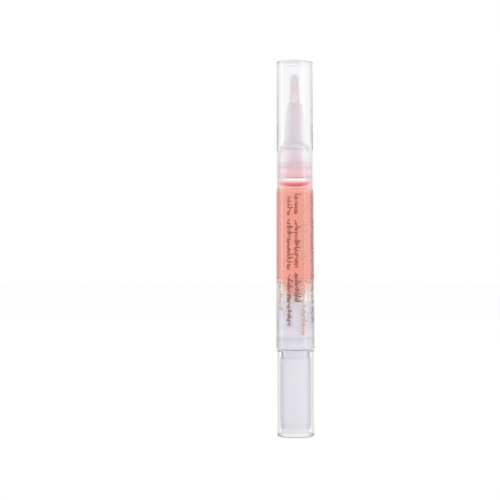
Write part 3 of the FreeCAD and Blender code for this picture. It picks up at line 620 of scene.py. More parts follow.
def greased_wall(colours):
    """A wall under pale grease: a little light passes, the rest is scattered."""
    finish = Finish("greased_wall")
    smear = finish.noise(170.0, along=0.4)
    # Painted shade: bluer grey at the outline.
    outline = finish.mix(finish.facing(0.12, 0.42), colours.grease, colours.grease_painted_edge_shade)
    lit = finish.principled(
        base_color=finish.mottle(smear, outline, (1.0, 0.99, 1.0), 0.3, 1.0, 0.3, 0.7),
        roughness=finish.remap(smear, 0.3, 0.7, 0.45, 0.6),
        ior=1.1,
        normal=finish.bump(smear, 0.1),
    )
    glow = finish.shader("ShaderNodeBsdfTranslucent", color=colours.grease)
    scatter = finish.blend(0.4, lit, glow)
    thickness = finish.remap(smear, 0.3, 0.7, 0.76, 0.88)
    return finish.end(finish.blend(thickness, finish.see_through(), scatter))


WALLS = {
    "clear_skin": clear_skin,
    "clear_bore": clear_bore,
    "wetted_wall": wetted_wall,
    "clear_neck": clear_neck,
    "greased_wall": greased_wall,
    "filmed_bore": filmed_bore,
}
SKIN, BORE, WETTED, NECK, GREASED, FILMED = range(len(WALLS))


def wall_materials():
    """The materials of the clear pieces' walls, each made once."""
    colours = bpy.context.scene.oil_pen_colours
    return [bpy.data.materials.get(name) or make(colours) for name, make in WALLS.items()]


def tinted(finish, surface, colours):
    """Ends a finish with the oil's own tint under its surface."""
    return finish.end(surface, finish.shader(
        "ShaderNodeVolumeAbsorption", color=colours.oil, density=colours.oil_density
    ))


def oil_body(colours):
    """The oil beside the wetted wall, where only its tint shows."""
    finish = Finish("oil_body")
    return tinted(finish, finish.see_through(), colours)


def oil_top(colours):
    """The oil's free top, which bends and mirrors light, with foam where it climbs the wall,
    painted darker low in the bowl and paler at the outline.
    """
    finish = Finish("oil_top")
    swirl = finish.noise(300.0, detail=1.0)
    clear = finish.principled(
        base_color=WHITE,
        roughness=0.0,
        ior=OIL_IOR,
        transmission_weight=1.0,
        normal=finish.bump(swirl, 0.05, RIPPLE),
    )
    # Painted shade and light: foam darker low in the bowl, paler at the outline.
    upper = finish.mix(finish.facing(0.35, 0.8), colours.foam, colours.foam_sides_painted_light)
    lower = finish.mix(finish.facing(0.6, 0.84), colours.foam_deep_painted_shade, colours.foam_sides_painted_light)
    shade = finish.mix(finish.away(3.3, 3.8), lower, upper)
    foam = finish.shader("ShaderNodeBsdfDiffuse", color=shade)
    share = finish.times(
        finish.away(1.1, 1.9, 0.06, 0.85), finish.remap(swirl, 0.3, 0.7, 0.9, 1.1)
    )
    skin = finish.blend(share, clear, foam)
    return tinted(finish, finish.with_open_lamps(skin, (0.98, 0.98, 0.98)), colours)


def frosted_plastic(finish, body, through, grain=0.35):
    """Milky moulded plastic with soft clouds and a fine grain."""
    cloud = finish.noise(260.0, along=0.35, detail=3.0)
    fine = finish.noise(5200.0, detail=3.0, roughness=0.65)
    return finish.end(finish.principled(
        base_color=finish.mottle(cloud, body, WHITE, 0.35, 0.4),
        roughness=finish.remap(fine, 0.3, 0.7, 0.32, 0.5),
        ior=PLASTIC_IOR,
        transmission_weight=through,
        subsurface_weight=0.6,
        subsurface_scale=0.9 * MM,
        subsurface_radius=(1.0, 0.9, 0.9),
        normal=finish.bump(fine, grain),
    ))


def nozzle_finish(colours, cone_foot):
    """Frosted plastic, stained by the oil at the plug, with painted light: paler at the outline
    and the plug's sides, and white under the shaded flange.
    """
    finish = Finish("frosted_nozzle")
    # Painted light: the cone and collar paler at their outline.
    cone = finish.mix(finish.facing(0.05, 0.4), colours.frost, colours.frost_painted_edge_light)
    collar = finish.mix(finish.facing(0.45, 0.75), colours.frost, colours.frost_painted_edge_light)
    cone = finish.mix(finish.level(cone_foot, -0.1, 0.2), collar, cone)
    # Painted light: the plug's sides paler than its front.
    plug = finish.mix(finish.facing(0.01, 0.15), colours.frost, colours.frost_plug_painted_light)
    upper = finish.mix(finish.level(NECK_TOP, 0.0, 0.3), plug, cone)
    # Oil stain, with painted light paler at its outline.
    lower = finish.mix(finish.facing(0.03, 0.3), colours.frost_stained, colours.stained_painted_edge_light)
    body = finish.mix(finish.level(PLUG_FOOT, -0.5, 8.5), lower, upper)
    # Painted light: the flange's shaded underside painted white.
    under = finish.times(finish.level(NECK_TOP, -0.5, -0.1), finish.level(NECK_TOP, 0.2, 0.1))
    return frosted_plastic(finish, finish.mix(under, body, WHITE), 0.3)


def sleeve_finish(colours):
    """Frosted plastic, with painted shade bluer at the outline and dark at the neck's, and painted
    light pale at the foot.
    """
    finish = Finish("frosted_sleeve")
    body = finish.mix(finish.facing(0.22, 0.66), colours.sleeve, colours.sleeve_painted_edge_shade)
    neck = finish.mix(finish.facing(0.42, 0.72), colours.sleeve, colours.neck_painted_shade)
    body = finish.mix(finish.level(KNOB_FLOOR, 3.3, 2.6), body, colours.sleeve_foot_painted_light)
    body = finish.mix(finish.level(KNOB_TOP, -3.2, -2.6), body, neck)
    return frosted_plastic(finish, body, 0.25)


def seal_finish(colours):
    """Painted glow of the oil in the cup shining through the front, in a wedge that closes
    downwards.
    """
    finish = Finish("soft_seal")
    level_faces = finish.maths("MAXIMUM", finish.upright(0.1, 0.4), 0.5)
    beside = finish.times(finish.facing(0.02, 0.3), level_faces, 0.9)
    depth = finish.level(SEAL_TOP, -9.5, -1.0)
    wedge = finish.remap(finish.less(depth, beside), 0.0, 0.6)
    wedge = finish.times(wedge, finish.away(4.8, 5.1, 0.45, 1.0))
    body = finish.mix(wedge, colours.seal, colours.seal_painted_oil_glow)
    return frosted_plastic(finish, body, 0.2, 0.2)


def pale_plastic(name, base, edge, through=0.2, roughness=0.36):
    """Solid pale plastic with fine tool lines, a slight mottle and a painted edge shade at its
    outline.
    """
    finish = Finish(name)
    spots = finish.noise(500.0, along=0.6, detail=3.0)
    lines = finish.noise(3800.0, across=0.15, roughness=0.6)
    # Painted shade: the edge colour at the outline, where it differs from the base.
    outline = finish.mix(finish.facing(0.2, 0.8), base, edge)
    return finish.end(finish.principled(
        base_color=finish.mottle(spots, outline, (0.2, 0.2, 0.24), 0.12, 0.6),
        roughness=finish.remap(lines, 0.3, 0.75, roughness - 0.06, roughness + 0.1),
        ior=PLASTIC_IOR,
        transmission_weight=through,
        subsurface_weight=0.5,
        subsurface_scale=0.8 * MM,
        normal=finish.bump(lines, 0.12),
    ))


def bristle_finish(colours):
    """Nylon filaments: wet at the root and painted paler there against the rim's shade, pink along
    the middle and paler at the tip.
    """
    finish = Finish("bristle")
    streak = finish.noise(900.0, along=0.25, across=6.0)
    rising = finish.mix(
        finish.level(NOZZLE_TOP, 0.0, 3.5), colours.bristle_root_wet_and_painted_light, colours.bristle
    )
    rising = finish.mix(finish.level(TUFT_TOP, -4.5, -1.0), rising, colours.bristle_tip)
    return finish.end(finish.principled(
        base_color=finish.mottle(streak, rising, WHITE, 0.4, 0.6, 0.35, 0.7),
        roughness=finish.remap(streak, 0.3, 0.7, 0.3, 0.42),
        ior=1.4,
        transmission_weight=0.05,
        normal=finish.bump(streak, 0.15),
    ))


def ink_finish(name, base):
    """Matt printing ink with a slightly uneven lay."""
    finish = Finish(name)
    lay = finish.noise(2400.0, detail=3.0, roughness=0.6)
    paler = [min(1.0, 1.5 * value + 0.01) for value in base]
    return finish.end(finish.principled(
        base_color=finish.mix(finish.remap(lay, 0.35, 0.75, 0.0, 0.7), base, paler),
        roughness=finish.remap(lay, 0.3, 0.7, 0.55, 0.8),
        normal=finish.bump(lay, 0.3, INK_GRAIN),
    ))


class GeometryTree(NodeTree):
    """A geometry node tree with named inputs, run on a piece to give a plain mesh."""

    def __init__(self, name):
        super().__init__(bpy.data.node_groups.new(name, "GeometryNodeTree"))
        for way in ("INPUT", "OUTPUT"):
            self.tree.interface.new_socket(
                name="Geometry", in_out=way, socket_type="NodeSocketGeometry"
            )
        self.entry = self.node("NodeGroupInput")
        self.exit = self.node("NodeGroupOutput")
        self.values = {}

    def value(self, name, kind, amount):
        """A named input of the tree, with the value that the modifier gives it."""
        item = self.tree.interface.new_socket(
            name=name, in_out="INPUT", socket_type=f"NodeSocket{kind}"
        )
        self.values[item.identifier] = amount
        return self.entry.outputs[name]

    def numbers(self, **amounts):
        """Named number inputs, with the values that the modifier gives them."""
        return [
            self.value(name.replace("_", " ").title(), "Float", amount)
            for name, amount in amounts.items()
        ]

    def between(self, share, first, second):
        """A number between two others."""
        return self.result("ShaderNodeMix", {0: share, 2: first, 3: second})

    def random(self, low, high, seed):
        """An even random number for each element."""
        inputs = {2: low, 3: high, "Seed": seed}
        return self.node("FunctionNodeRandomValue", inputs, data_type="FLOAT").outputs[1]

    def position(self):
        """The three coordinates of each element."""
        return self.split(self.result("GeometryNodeInputPosition"))

    def move(self, geometry, **places):
        """Moves points to a Position, or by an Offset."""
        inputs = {"Geometry": geometry}
        inputs.update({key.title(): value for key, value in places.items()})
        return self.result("GeometryNodeSetPosition", inputs)

    def end(self, geometry, finish):
        """Ends the tree with plain geometry in its finish."""
        given = self.value("Material", "Material", finish)
        whole = self.result("GeometryNodeRealizeInstances", {"Geometry": geometry})
        dressed = self.result("GeometryNodeSetMaterial", {"Geometry": whole, "Material": given})
        self.put(self.exit.inputs[0], dressed)
        return self

    def run_on(self, piece, name):
        """Runs the tree on an object and gives the result as a plain mesh of a new piece."""
        modifier = piece.modifiers.new(name, "NODES")
        modifier.node_group = self.tree
        for identifier, amount in self.values.items():
            modifier[identifier] = amount
        bpy.context.view_layer.update()
        graph = bpy.context.evaluated_depsgraph_get()
        mesh = bpy.data.meshes.new_from_object(piece.evaluated_get(graph))
        piece.modifiers.clear()
        bpy.data.objects.remove(piece)
        mesh.name = name
        return new_piece(name, mesh)


class OILPEN_OT_cap(bpy.types.Operator):
    """Turn the clear cap with its socket, snap groove and inner step"""

    bl_idname = "oil_pen.cap"
    bl_label = "Cap"

    def execute(self, context):
        sizes = context.scene.oil_pen_shells
        socket = FLANGE_RADIUS + sizes.cap_gap
        step = NECK_TOP - sizes.cap_step_drop
        upper = socket - sizes.cap_step
        ceiling = CAP_TOP - sizes.cap_ceiling
        bead = NECK_TOP - sizes.bead_drop
        half = sizes.bead_height / 2
        groove = socket + sizes.cap_groove
        dimple = CAP_TOP - sizes.gate_depth / 2
        mouth = SHOULDER + sizes.cap_rest_gap

        def slot_of(radius, level):
            """The neck fills the socket, so the socket's wall shows nothing."""
            if radius > groove + sizes.fit or level > CAP_TOP - sizes.cap_ceiling / 2:
                return SKIN
            return WETTED if mouth + sizes.cap_lead < level < step else BORE

        piece = lathe("clear_cap", [
            (socket + sizes.cap_lead, mouth, sizes.edge / 2),
            (CAP_RADIUS, mouth, sizes.cap_mouth_round),
            (CAP_RADIUS, CAP_TOP, sizes.cap_top_round),
            (sizes.gate_radius, CAP_TOP, sizes.edge / 2),
            (sizes.gate_radius - sizes.edge, dimple, sizes.edge / 2),
            (0.0, dimple),
            (0.0, ceiling),
            (upper - sizes.cap_draft, ceiling, sizes.cap_inner_round),
            (upper, step + sizes.cap_step_slope),
            (socket, step),
            (socket, bead + half),
            (groove, bead + half - sizes.bead_slope),
            (groove, bead - half + sizes.bead_slope),
            (socket, bead - half),
            (socket, mouth + sizes.cap_lead),
        ], wall_materials(), slot_of)
        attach(piece, "cap")
        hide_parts("cap")
        return {"FINISHED"}


class OILPEN_OT_barrel(bpy.types.Operator):
    """Turn the clear barrel, whose bore shows nothing where the oil wets it"""

    bl_idname = "oil_pen.barrel"
    bl_label = "Barrel"

    def execute(self, context):
        sizes = context.scene.oil_pen_shells
        bore = SEAL_RADIUS + sizes.fit
        neck_bore = FLANGE_RADIUS - sizes.neck_wall
        cone_foot = SHOULDER - sizes.cone_drop
        cone_top = cone_foot + sizes.cone_height
        bead = NECK_TOP - sizes.bead_drop
        half = sizes.bead_height / 2
        bead_radius = FLANGE_RADIUS + sizes.bead_rise
        cap_step = NECK_TOP - sizes.cap_step_drop

        def slot_of(radius, level):
            """The bore is wetted but for the air over the oil."""
            if radius < (bore if level < cone_top else neck_bore) + sizes.fit:
                if OIL_TOP < level < PLUG_FOOT:
                    return FILMED
                if level < BARREL_FOOT + sizes.edge:
                    return BORE
                return GREASED if level < SEAL_FOOT else WETTED
            if level > NECK_TOP - sizes.fit:
                return WETTED
            if level < BARREL_FOOT + sizes.fit:
                return GREASED
            covered = radius < bead_radius + sizes.fit and SHOULDER < level < cap_step
            return NECK if covered else SKIN

        piece = lathe("clear_barrel", [
            (bore, BARREL_FOOT, sizes.edge),
            (BARREL_FOOT_RADIUS, BARREL_FOOT, sizes.barrel_round),
            (CAP_RADIUS + sizes.setback, SHOULDER, sizes.barrel_round),
            (FLANGE_RADIUS, SHOULDER),
            (FLANGE_RADIUS, bead - half),
            (bead_radius, bead - half + sizes.bead_slope),
            (bead_radius, bead + half - sizes.bead_slope),
            (FLANGE_RADIUS, bead + half),
            (FLANGE_RADIUS, cap_step),
            (FLANGE_RADIUS, NECK_TOP),
            (neck_bore, NECK_TOP),
            (neck_bore, PLUG_FOOT),
            (neck_bore, OIL_TOP),
            (neck_bore, cone_top),
            (bore, cone_foot),
            (bore, SEAL_FOOT),
        ], wall_materials(), slot_of)
        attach(piece, "barrel")
        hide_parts("barrel")
        return {"FINISHED"}


MENISCUS_STEPS = 12
MENISCUS_POWER = 2.4


class OILPEN_OT_oil(bpy.types.Operator):
    """Fill the barrel with tinted oil in three parts: cup, column and neck"""

    bl_idname = "oil_pen.oil"
    bl_label = "Oil"

    def execute(self, context):
        colours = context.scene.oil_pen_colours
        sizes = context.scene.oil_pen_oil
        shells = context.scene.oil_pen_shells
        body = oil_body(colours)
        clearance = SEAL_RADIUS + shells.fit - OIL_RADIUS
        neck = FLANGE_RADIUS - shells.neck_wall - clearance
        cone_foot = SHOULDER - shells.cone_drop
        column_foot = SEAL_TOP + clearance
        calm = OIL_TOP - sizes.meniscus

        cup = lathe("oil_in_cup", [
            (0.0, OIL_FOOT),
            (sizes.cup_radius, OIL_FOOT),
            (sizes.cup_mouth, column_foot - sizes.seam),
            (0.0, column_foot - sizes.seam),
        ], [body])
        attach(cup, "piston")

        column = lathe("oil_column", [
            (0.0, column_foot),
            (OIL_RADIUS, column_foot),
            (OIL_RADIUS, cone_foot),
            (0.0, cone_foot),
        ], [body])
        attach(column, "barrel")

        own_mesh(column)

        def slot_of(radius, level):
            """The free top has a finish of its own."""
            return int(level > calm and radius < neck - sizes.seam)

        shares = [1 - step / MENISCUS_STEPS for step in range(MENISCUS_STEPS + 1)]
        upper = lathe("oil_in_neck", [
            (0.0, cone_foot + sizes.seam),
            (OIL_RADIUS, cone_foot + sizes.seam),
            (neck, cone_foot + shells.cone_height),
            *((neck * share, calm + sizes.meniscus * share ** MENISCUS_POWER) for share in shares),
        ], [body, oil_top(colours)], slot_of)
        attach(upper, "barrel")
        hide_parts("oil_fill")
        return {"FINISHED"}


class OILPEN_OT_nozzle(bpy.types.Operator):
    """Turn the frosted nozzle with its plug, flange, cone and rim"""

    bl_idname = "oil_pen.nozzle"
    bl_label = "Nozzle"

    def execute(self, context):
        shells = context.scene.oil_pen_shells
        sizes = context.scene.oil_pen_nozzle
        land = FLANGE_RADIUS - shells.neck_wall - shells.fit
        waist = land - sizes.waist
        tube = TUBE_RADIUS + shells.fit
        channel = sizes.channel_radius
        groove = land - (RING_TOP - RING_FOOT) - shells.fit
        cone_foot = NECK_TOP + sizes.flange + sizes.foot_rise
        cone_top = NOZZLE_TOP - sizes.rim_height
        socket = COLLAR_RADIUS + shells.fit
        lower = PLUG_FOOT + sizes.channel_foot
        upper = COLLAR_FOOT - sizes.channel_roof
        frost = nozzle_finish(context.scene.oil_pen_colours, cone_foot)

        piece = lathe("frosted_nozzle", [
            (tube, PLUG_FOOT),
            (waist, PLUG_FOOT),
            (land, PLUG_FOOT + sizes.waist),
            (land, PLUG_FOOT + sizes.land),
            (waist, PLUG_FOOT + sizes.land + sizes.waist),
            (waist, RING_FOOT - shells.fit),
            (groove, RING_FOOT - shells.fit),
            (groove, RING_TOP + shells.fit),
            (waist, RING_TOP + shells.fit),
            (waist, NECK_TOP - sizes.land - sizes.waist),
            (land, NECK_TOP - sizes.land),
            (land, NECK_TOP),
            (FLANGE_RADIUS, NECK_TOP),
            (FLANGE_RADIUS, NECK_TOP + sizes.flange_edge, shells.edge),
            (FLANGE_RADIUS - sizes.flange_slope, NECK_TOP + sizes.flange, shells.edge),
            (sizes.cone_foot_radius, cone_foot, shells.edge * 2),
            (sizes.cone_top_radius, cone_top, shells.edge),
            (sizes.rim_radius, cone_top),
            (sizes.rim_radius, NOZZLE_TOP, sizes.rim_round),
            (socket, NOZZLE_TOP, shells.edge / 2),
            (socket, COLLAR_FOOT),
            (tube, COLLAR_FOOT),
            (tube, upper),
            (channel, upper - (channel - tube)),
            (channel, lower + (channel - tube)),
            (tube, lower),
        ], [frost])
        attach(piece, "barrel")
        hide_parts("nozzle")

        gasket = lathe("pressed_ring", [
            (groove + shells.fit, RING_FOOT, sizes.ring_round),
            (RING_RADIUS, RING_FOOT, sizes.ring_round),
            (RING_RADIUS, RING_TOP, sizes.ring_round),
            (groove + shells.fit, RING_TOP, sizes.ring_round),
        ], [frost])
        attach(gasket, "barrel")
        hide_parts("nozzle_seal")
        return {"FINISHED"}


BRISTLE_STEPS = 12
BRISTLE_SIDES = 6
# Turn of a wandering bristle in radians, and what it keeps of its thickness at the tip.
BRISTLE_SWAY = 0.09
BRISTLE_TIP_SHARE = 0.55
GOLDEN_TURN = math.pi * (3 - math.sqrt(5))


def bristle_tree(sizes, finish):
    """Bristles that leave the collar, close over the feed tube and end in a rounded tip."""
    tree = GeometryTree("bristles")
    count = tree.value("Bristles", "Int", sizes.filament_count)
    seed = tree.value("Seed", "Int", sizes.seed)
    thick, root, heart, mouth, tip, closing = tree.numbers(
        bristle_radius=sizes.filament_radius,
        root_radius=COLLAR_RADIUS - sizes.root_inset,
        feed_tube_radius=TUBE_RADIUS + sizes.tube_gap,
        mouth_radius=TUFT_RADIUS,
        tip_radius=TUFT_RADIUS - sizes.taper,
        closing=sizes.closing,
    )
    foot_level, collar_level, mouth_level, shoulder_level, top_level = tree.numbers(
        root_level=TUFT_FOOT,
        collar_top=COLLAR_TOP,
        mouth_level=NOZZLE_TOP,
        tip_foot=TUFT_TOP - sizes.tip_height,
        tip_level=TUFT_TOP,
    )

    index = tree.result("GeometryNodeInputIndex")
    marks = {
        "share": tree.maths("SQRT", tree.maths("DIVIDE", tree.add(index, 0.5), count)),
        "turn": tree.times(index, GOLDEN_TURN),
        "wander": tree.random(-1.0, 1.0, seed),
    }
    kept = tree.result("GeometryNodePoints", {"Count": count})
    for name, source in marks.items():
        inputs = {"Geometry": kept, "Name": name, "Value": source}
        kept = tree.result(
            "GeometryNodeStoreNamedAttribute", inputs, data_type="FLOAT", domain="POINT"
        )
    line = tree.result("GeometryNodeCurvePrimitiveLine", {"Start": (0, 0, 0), "End": (0, 0, 1)})
    fine = tree.result("GeometryNodeResampleCurve", {"Curve": line, "Count": BRISTLE_STEPS})
    bundle = tree.result("GeometryNodeInstanceOnPoints", {"Points": kept, "Instance": fine})
    loose = tree.result("GeometryNodeRealizeInstances", {"Geometry": bundle})
    out, turn, wander = [
        tree.result("GeometryNodeInputNamedAttribute", {"Name": name}, data_type="FLOAT")
        for name in marks
    ]

    along = tree.position()[2]
    dome = tree.maths("SQRT", tree.less(1.0, tree.times(out, out)))
    end = tree.between(dome, shoulder_level, tree.less(top_level, thick))
    level = tree.between(along, foot_level, end)
    ring = tree.between(tree.times(out, out), tree.add(heart, thick), tree.less(root, thick))
    flare = tree.remap(level, collar_level, mouth_level, root, mouth)
    narrow = tree.remap(level, mouth_level, shoulder_level, mouth, tip)
    above = tree.maths("GREATER_THAN", level, mouth_level)
    envelope = tree.less(tree.between(above, flare, narrow), thick)
    full = tree.times(out, envelope)
    closed = tree.remap(
        level, mouth_level, tree.add(mouth_level, closing), curve="SMOOTHSTEP"
    )
    opened = tree.maths("MINIMUM", tree.maths("MAXIMUM", ring, full), envelope)
    radius = tree.between(closed, opened, full)
    angle = tree.add(turn, tree.times(wander, tree.times(along, BRISTLE_SWAY)))
    spot = tree.join(
        tree.times(radius, tree.maths("COSINE", angle)),
        tree.times(radius, tree.maths("SINE", angle)),
        level,
    )
    placed = tree.move(loose, position=spot)
    slim = tree.remap(along, 0.0, 1.0, 1.0, BRISTLE_TIP_SHARE)
    sized = tree.result("GeometryNodeSetCurveRadius", {"Curve": placed, "Radius": slim})
    section = tree.result(
        "GeometryNodeCurvePrimitiveCircle", {"Resolution": BRISTLE_SIDES, "Radius": thick}
    )
    swept = tree.node(
        "GeometryNodeCurveToMesh", {"Curve": sized, "Profile Curve": section, "Fill Caps": True}
    )
    if "Scale" in swept.inputs:
        tree.put(swept.inputs["Scale"], tree.result("GeometryNodeInputRadius"))
    smooth = tree.result("GeometryNodeSetShadeSmooth", {"Geometry": swept.outputs[0]})
    return tree.end(smooth, finish)


HEART_SIDES = 48
HEART_LIFT = 0.05 * MM
# The heart at the nozzle's mouth: inset from the bundle, and height from the nozzle's top.
HEART_MOUTH = ((0.1 * MM, -0.4 * MM), (0.02 * MM, 1.6 * MM))
CROWN_INSETS = 1.5
DOME_DEGREES = range(0, 90, 15)


class OILPEN_OT_brush(bpy.types.Operator):
    """Grow the bristles round their wet heart"""

    bl_idname = "oil_pen.brush"
    bl_label = "Brush"

    def execute(self, context):
        sizes = context.scene.oil_pen_brush
        finish = bristle_finish(context.scene.oil_pen_colours)
        holder = new_piece("bristle_holder", bpy.data.meshes.new("bristle_holder"))
        bristles = bristle_tree(sizes, finish).run_on(holder, "bristles")
        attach(bristles, "barrel")

        mouth = TUFT_RADIUS - sizes.heart_inset
        tip = mouth - sizes.taper
        tip_foot = TUFT_TOP - sizes.tip_height
        crown = TUFT_TOP - sizes.heart_inset * CROWN_INSETS
        dome = crown - tip_foot
        rises = [math.radians(degrees) for degrees in DOME_DEGREES]
        heart = lathe("brush_heart", [
            (0.0, TUBE_TOP + HEART_LIFT),
            (TUBE_RADIUS, TUBE_TOP + HEART_LIFT),
            *((mouth - inset, NOZZLE_TOP + height) for inset, height in HEART_MOUTH),
            *((tip * math.cos(rise), tip_foot + dome * math.sin(rise)) for rise in rises),
            (0.0, crown),
        ], [finish], sides=HEART_SIDES)
        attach(heart, "barrel")
        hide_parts("brush_tuft")
        return {"FINISHED"}


class OILPEN_OT_knob(bpy.types.Operator):
    """Turn the knob's clear shell with its gate mark and flared mouth"""

    bl_idname = "oil_pen.knob"
    bl_label = "Knob"

    def execute(self, context):
        sizes = context.scene.oil_pen_shells
        bore = KNOB_RADIUS - sizes.knob_wall
        lip = KNOB_RADIUS - sizes.knob_lip
        floor = KNOB_FLOOR + sizes.knob_floor
        dimple = KNOB_FLOOR + sizes.gate_depth

        def slot_of(radius, level):
            """The bore has no outline of its own."""
            inside = radius < lip and level > KNOB_FLOOR + sizes.knob_floor / 2
            return BORE if inside else SKIN

        piece = lathe("clear_knob", [
            (0.0, dimple),
            (sizes.gate_radius, dimple),
            (sizes.gate_radius, KNOB_FLOOR),
            (KNOB_RADIUS, KNOB_FLOOR, sizes.knob_round),
            (KNOB_RADIUS, KNOB_TOP, sizes.edge),
            (lip, KNOB_TOP, sizes.edge / 2),
            (bore, KNOB_TOP - sizes.knob_mouth),
            (bore, floor),
            (0.0, floor),
        ], wall_materials(), slot_of)
        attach(piece, "knob")
        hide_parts("knob_shell")
        return {"FINISHED"}


class OILPEN_OT_works(bpy.types.Operator):
    """Dress the pieces that work inside the pen"""

    bl_idname = "oil_pen.works"
    bl_label = "Works"

    def execute(self, context):
        colours = context.scene.oil_pen_colours
        finishes = {
            sleeve_finish(colours): ["drive_sleeve"],
            seal_finish(colours): ["piston_core", "piston_seal"],
            pale_plastic("pale_works", colours.works, colours.works_painted_edge_shade): [
                "retaining_ring", "ratchet_ring", "drive_nut",
            ],
            pale_plastic("pale_screw", colours.works, colours.works, 0.1): [
                "end_plug", "pawl_ring", "screw", "brush_ferrule",
            ],
            pale_plastic("oily_tube", colours.tube, colours.tube, 0.3, 0.2): ["feed_tube"],
        }
        for finish, nodes in finishes.items():
            for node in nodes:
                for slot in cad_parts[node].material_slots:
                    slot.material = finish
        return {"FINISHED"}


# Shares of the ticks that are short or tall.
SHORT_TICKS = 0.25
TALL_TICKS = 0.12
# Heights and starts of the ticks, as shares of the tallest tick, and their spread of widths.
SHORT_RISE = 0.2
TALL_RISE = 0.85
USUAL_RISE = (0.34, 0.56)
SHORT_START = (-0.1, 0.08)
USUAL_START = (0.0, 0.34)
WIDTHS = (0.85, 1.15)
# The noise that leaves no line bare, and the one that leaves all bare.
NOISE_SPAN = (0.22, 0.8)


def print_tree(sizes, finish):
    """Plain parallel ticks along each edge of a flat plan, wrapped round the barrel."""
    tree = GeometryTree("printed_strokes")
    seed = tree.value("Seed", "Int", sizes.seed)
    pitch, height, stroke, thickness, lift, patch, spaces = tree.numbers(
        pitch=sizes.pitch,
        height=sizes.height,
        stroke=sizes.stroke,
        thickness=sizes.thickness,
        lift=sizes.lift,
        patch=sizes.patch,
        spaces=sizes.spaces,
    )
    foot_radius, top_radius, foot, top = tree.numbers(
        foot_radius=BARREL_FOOT_RADIUS,
        shoulder_radius=CAP_RADIUS + bpy.context.scene.oil_pen_shells.setback,
        foot=BARREL_FOOT,
        top=SHOULDER,
    )

    curves = tree.result("GeometryNodeMeshToCurve", {0: tree.entry.outputs[0]})
    dots = tree.result(
        "GeometryNodeCurveToPoints", {"Curve": curves, "Length": pitch}, mode="LENGTH"
    )
    clouds = tree.result("ShaderNodeTexNoise", {
        "W": seed, "Scale": tree.maths("DIVIDE", 1.0, patch), "Detail": 0.0,
    }, noise_dimensions="4D")
    bare = tree.maths("LESS_THAN", clouds, tree.remap(spaces, 0.0, 1.0, *NOISE_SPAN))
    kept = tree.result(
        "GeometryNodeDeleteGeometry", {"Geometry": dots, "Selection": bare}, domain="POINT"
    )

    def dice(turn, low=0.0, high=1.0):
        """Another random number for each tick."""
        return tree.random(low, high, tree.add(seed, turn))

    short = tree.maths("LESS_THAN", dice(1.0), SHORT_TICKS)
    tall = tree.maths("LESS_THAN", dice(2.0), TALL_TICKS)
    usual = tree.between(tall, dice(3.0, *USUAL_RISE), TALL_RISE)
    rise = tree.times(height, tree.between(short, usual, SHORT_RISE))
    lead = tree.times(stroke, dice(4.0, *WIDTHS))
    start = tree.between(short, dice(5.0, *SHORT_START), dice(6.0, *USUAL_START))
    shift = tree.add(tree.times(height, start), tree.times(rise, 0.5))
    block = tree.result("GeometryNodeMeshCube", {
        "Size": (1.0, 1.0, 1.0), "Vertices X": 5, "Vertices Y": 2, "Vertices Z": 2,
    })
    ticks = tree.result("GeometryNodeInstanceOnPoints", {
        "Points": tree.move(kept, offset=tree.join(shift, 0.0, 0.0)),
        "Instance": block,
        "Scale": tree.join(rise, thickness, lead),
    })
    flat = tree.result("GeometryNodeRealizeInstances", {"Geometry": ticks})
    across, deep, level = tree.position()
    wall = tree.remap(level, foot, top, foot_radius, top_radius)
    depth = tree.add(deep, tree.maths("DIVIDE", thickness, 2.0))
    radius = tree.add(wall, tree.add(depth, lift))
    angle = tree.maths("DIVIDE", across, foot_radius)
    spot = tree.join(
        tree.times(radius, tree.maths("SINE", angle)),
        tree.times(radius, tree.maths("COSINE", angle), -1.0),
        level,
    )
    return tree.end(tree.move(flat, position=spot), finish)


# Printed lines: degrees round the barrel from the front, upper and lower level in millimetres.
DARK_LINES = ((-26, 85.3, 39.5), (-3, 86.3, 48.4))
OLIVE_LINES = ((56, 86.3, 40.9),)
GOLD_LINES = ((18, 84.8, 36.6), (-58, 55.0, 45.5))


def plan_of(name, lines):
    """A flat plan of printed lines, unrolled from the barrel's foot radius."""
    mesh = bpy.data.meshes.new(name)
    places, edges = [], []
    for degrees, upper, lower in lines:
        across = math.radians(degrees) * BARREL_FOOT_RADIUS
        edges.append((len(places), len(places) + 1))
        places += [(across, 0.0, upper * MM), (across, 0.0, lower * MM)]
    mesh.from_pydata(places, edges, [])
    return new_piece(name, mesh)


class OILPEN_OT_printing(bpy.types.Operator):
    """Print lines of plain ticks along the barrel in three inks"""

    bl_idname = "oil_pen.printing"
    bl_label = "Printing"

    def execute(self, context):
        colours = context.scene.oil_pen_colours
        jobs = (
            ("dark_print", DARK_LINES, colours.ink_dark),
            ("olive_print", OLIVE_LINES, colours.ink_olive),
            ("gold_print", GOLD_LINES, colours.ink_gold),
        )
        for name, lines, base in jobs:
            tree = print_tree(context.scene.oil_pen_print, ink_finish(name, base))
            piece = tree.run_on(plan_of(name + "_plan", lines), name)
            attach(piece, "barrel")
        return {"FINISHED"}


def floor_finish():
    """A pale floor that the camera sees near white, with the pen's shadow."""
    finish = Finish("pale_floor")
    cloud = finish.remap(finish.noise(3.0, detail=3.0), 0.3, 0.7)
    shaded = finish.principled(
        base_color=finish.mix(cloud, (0.86, 0.86, 0.865), (0.88, 0.88, 0.88)), roughness=0.6
    )
    seen = finish.times(finish.rays("Camera", "Glossy", "Transmission"), 0.9)
    bright = finish.shader("ShaderNodeEmission", strength=1.0)
    return finish.end(finish.blend(seen, shaded, bright))


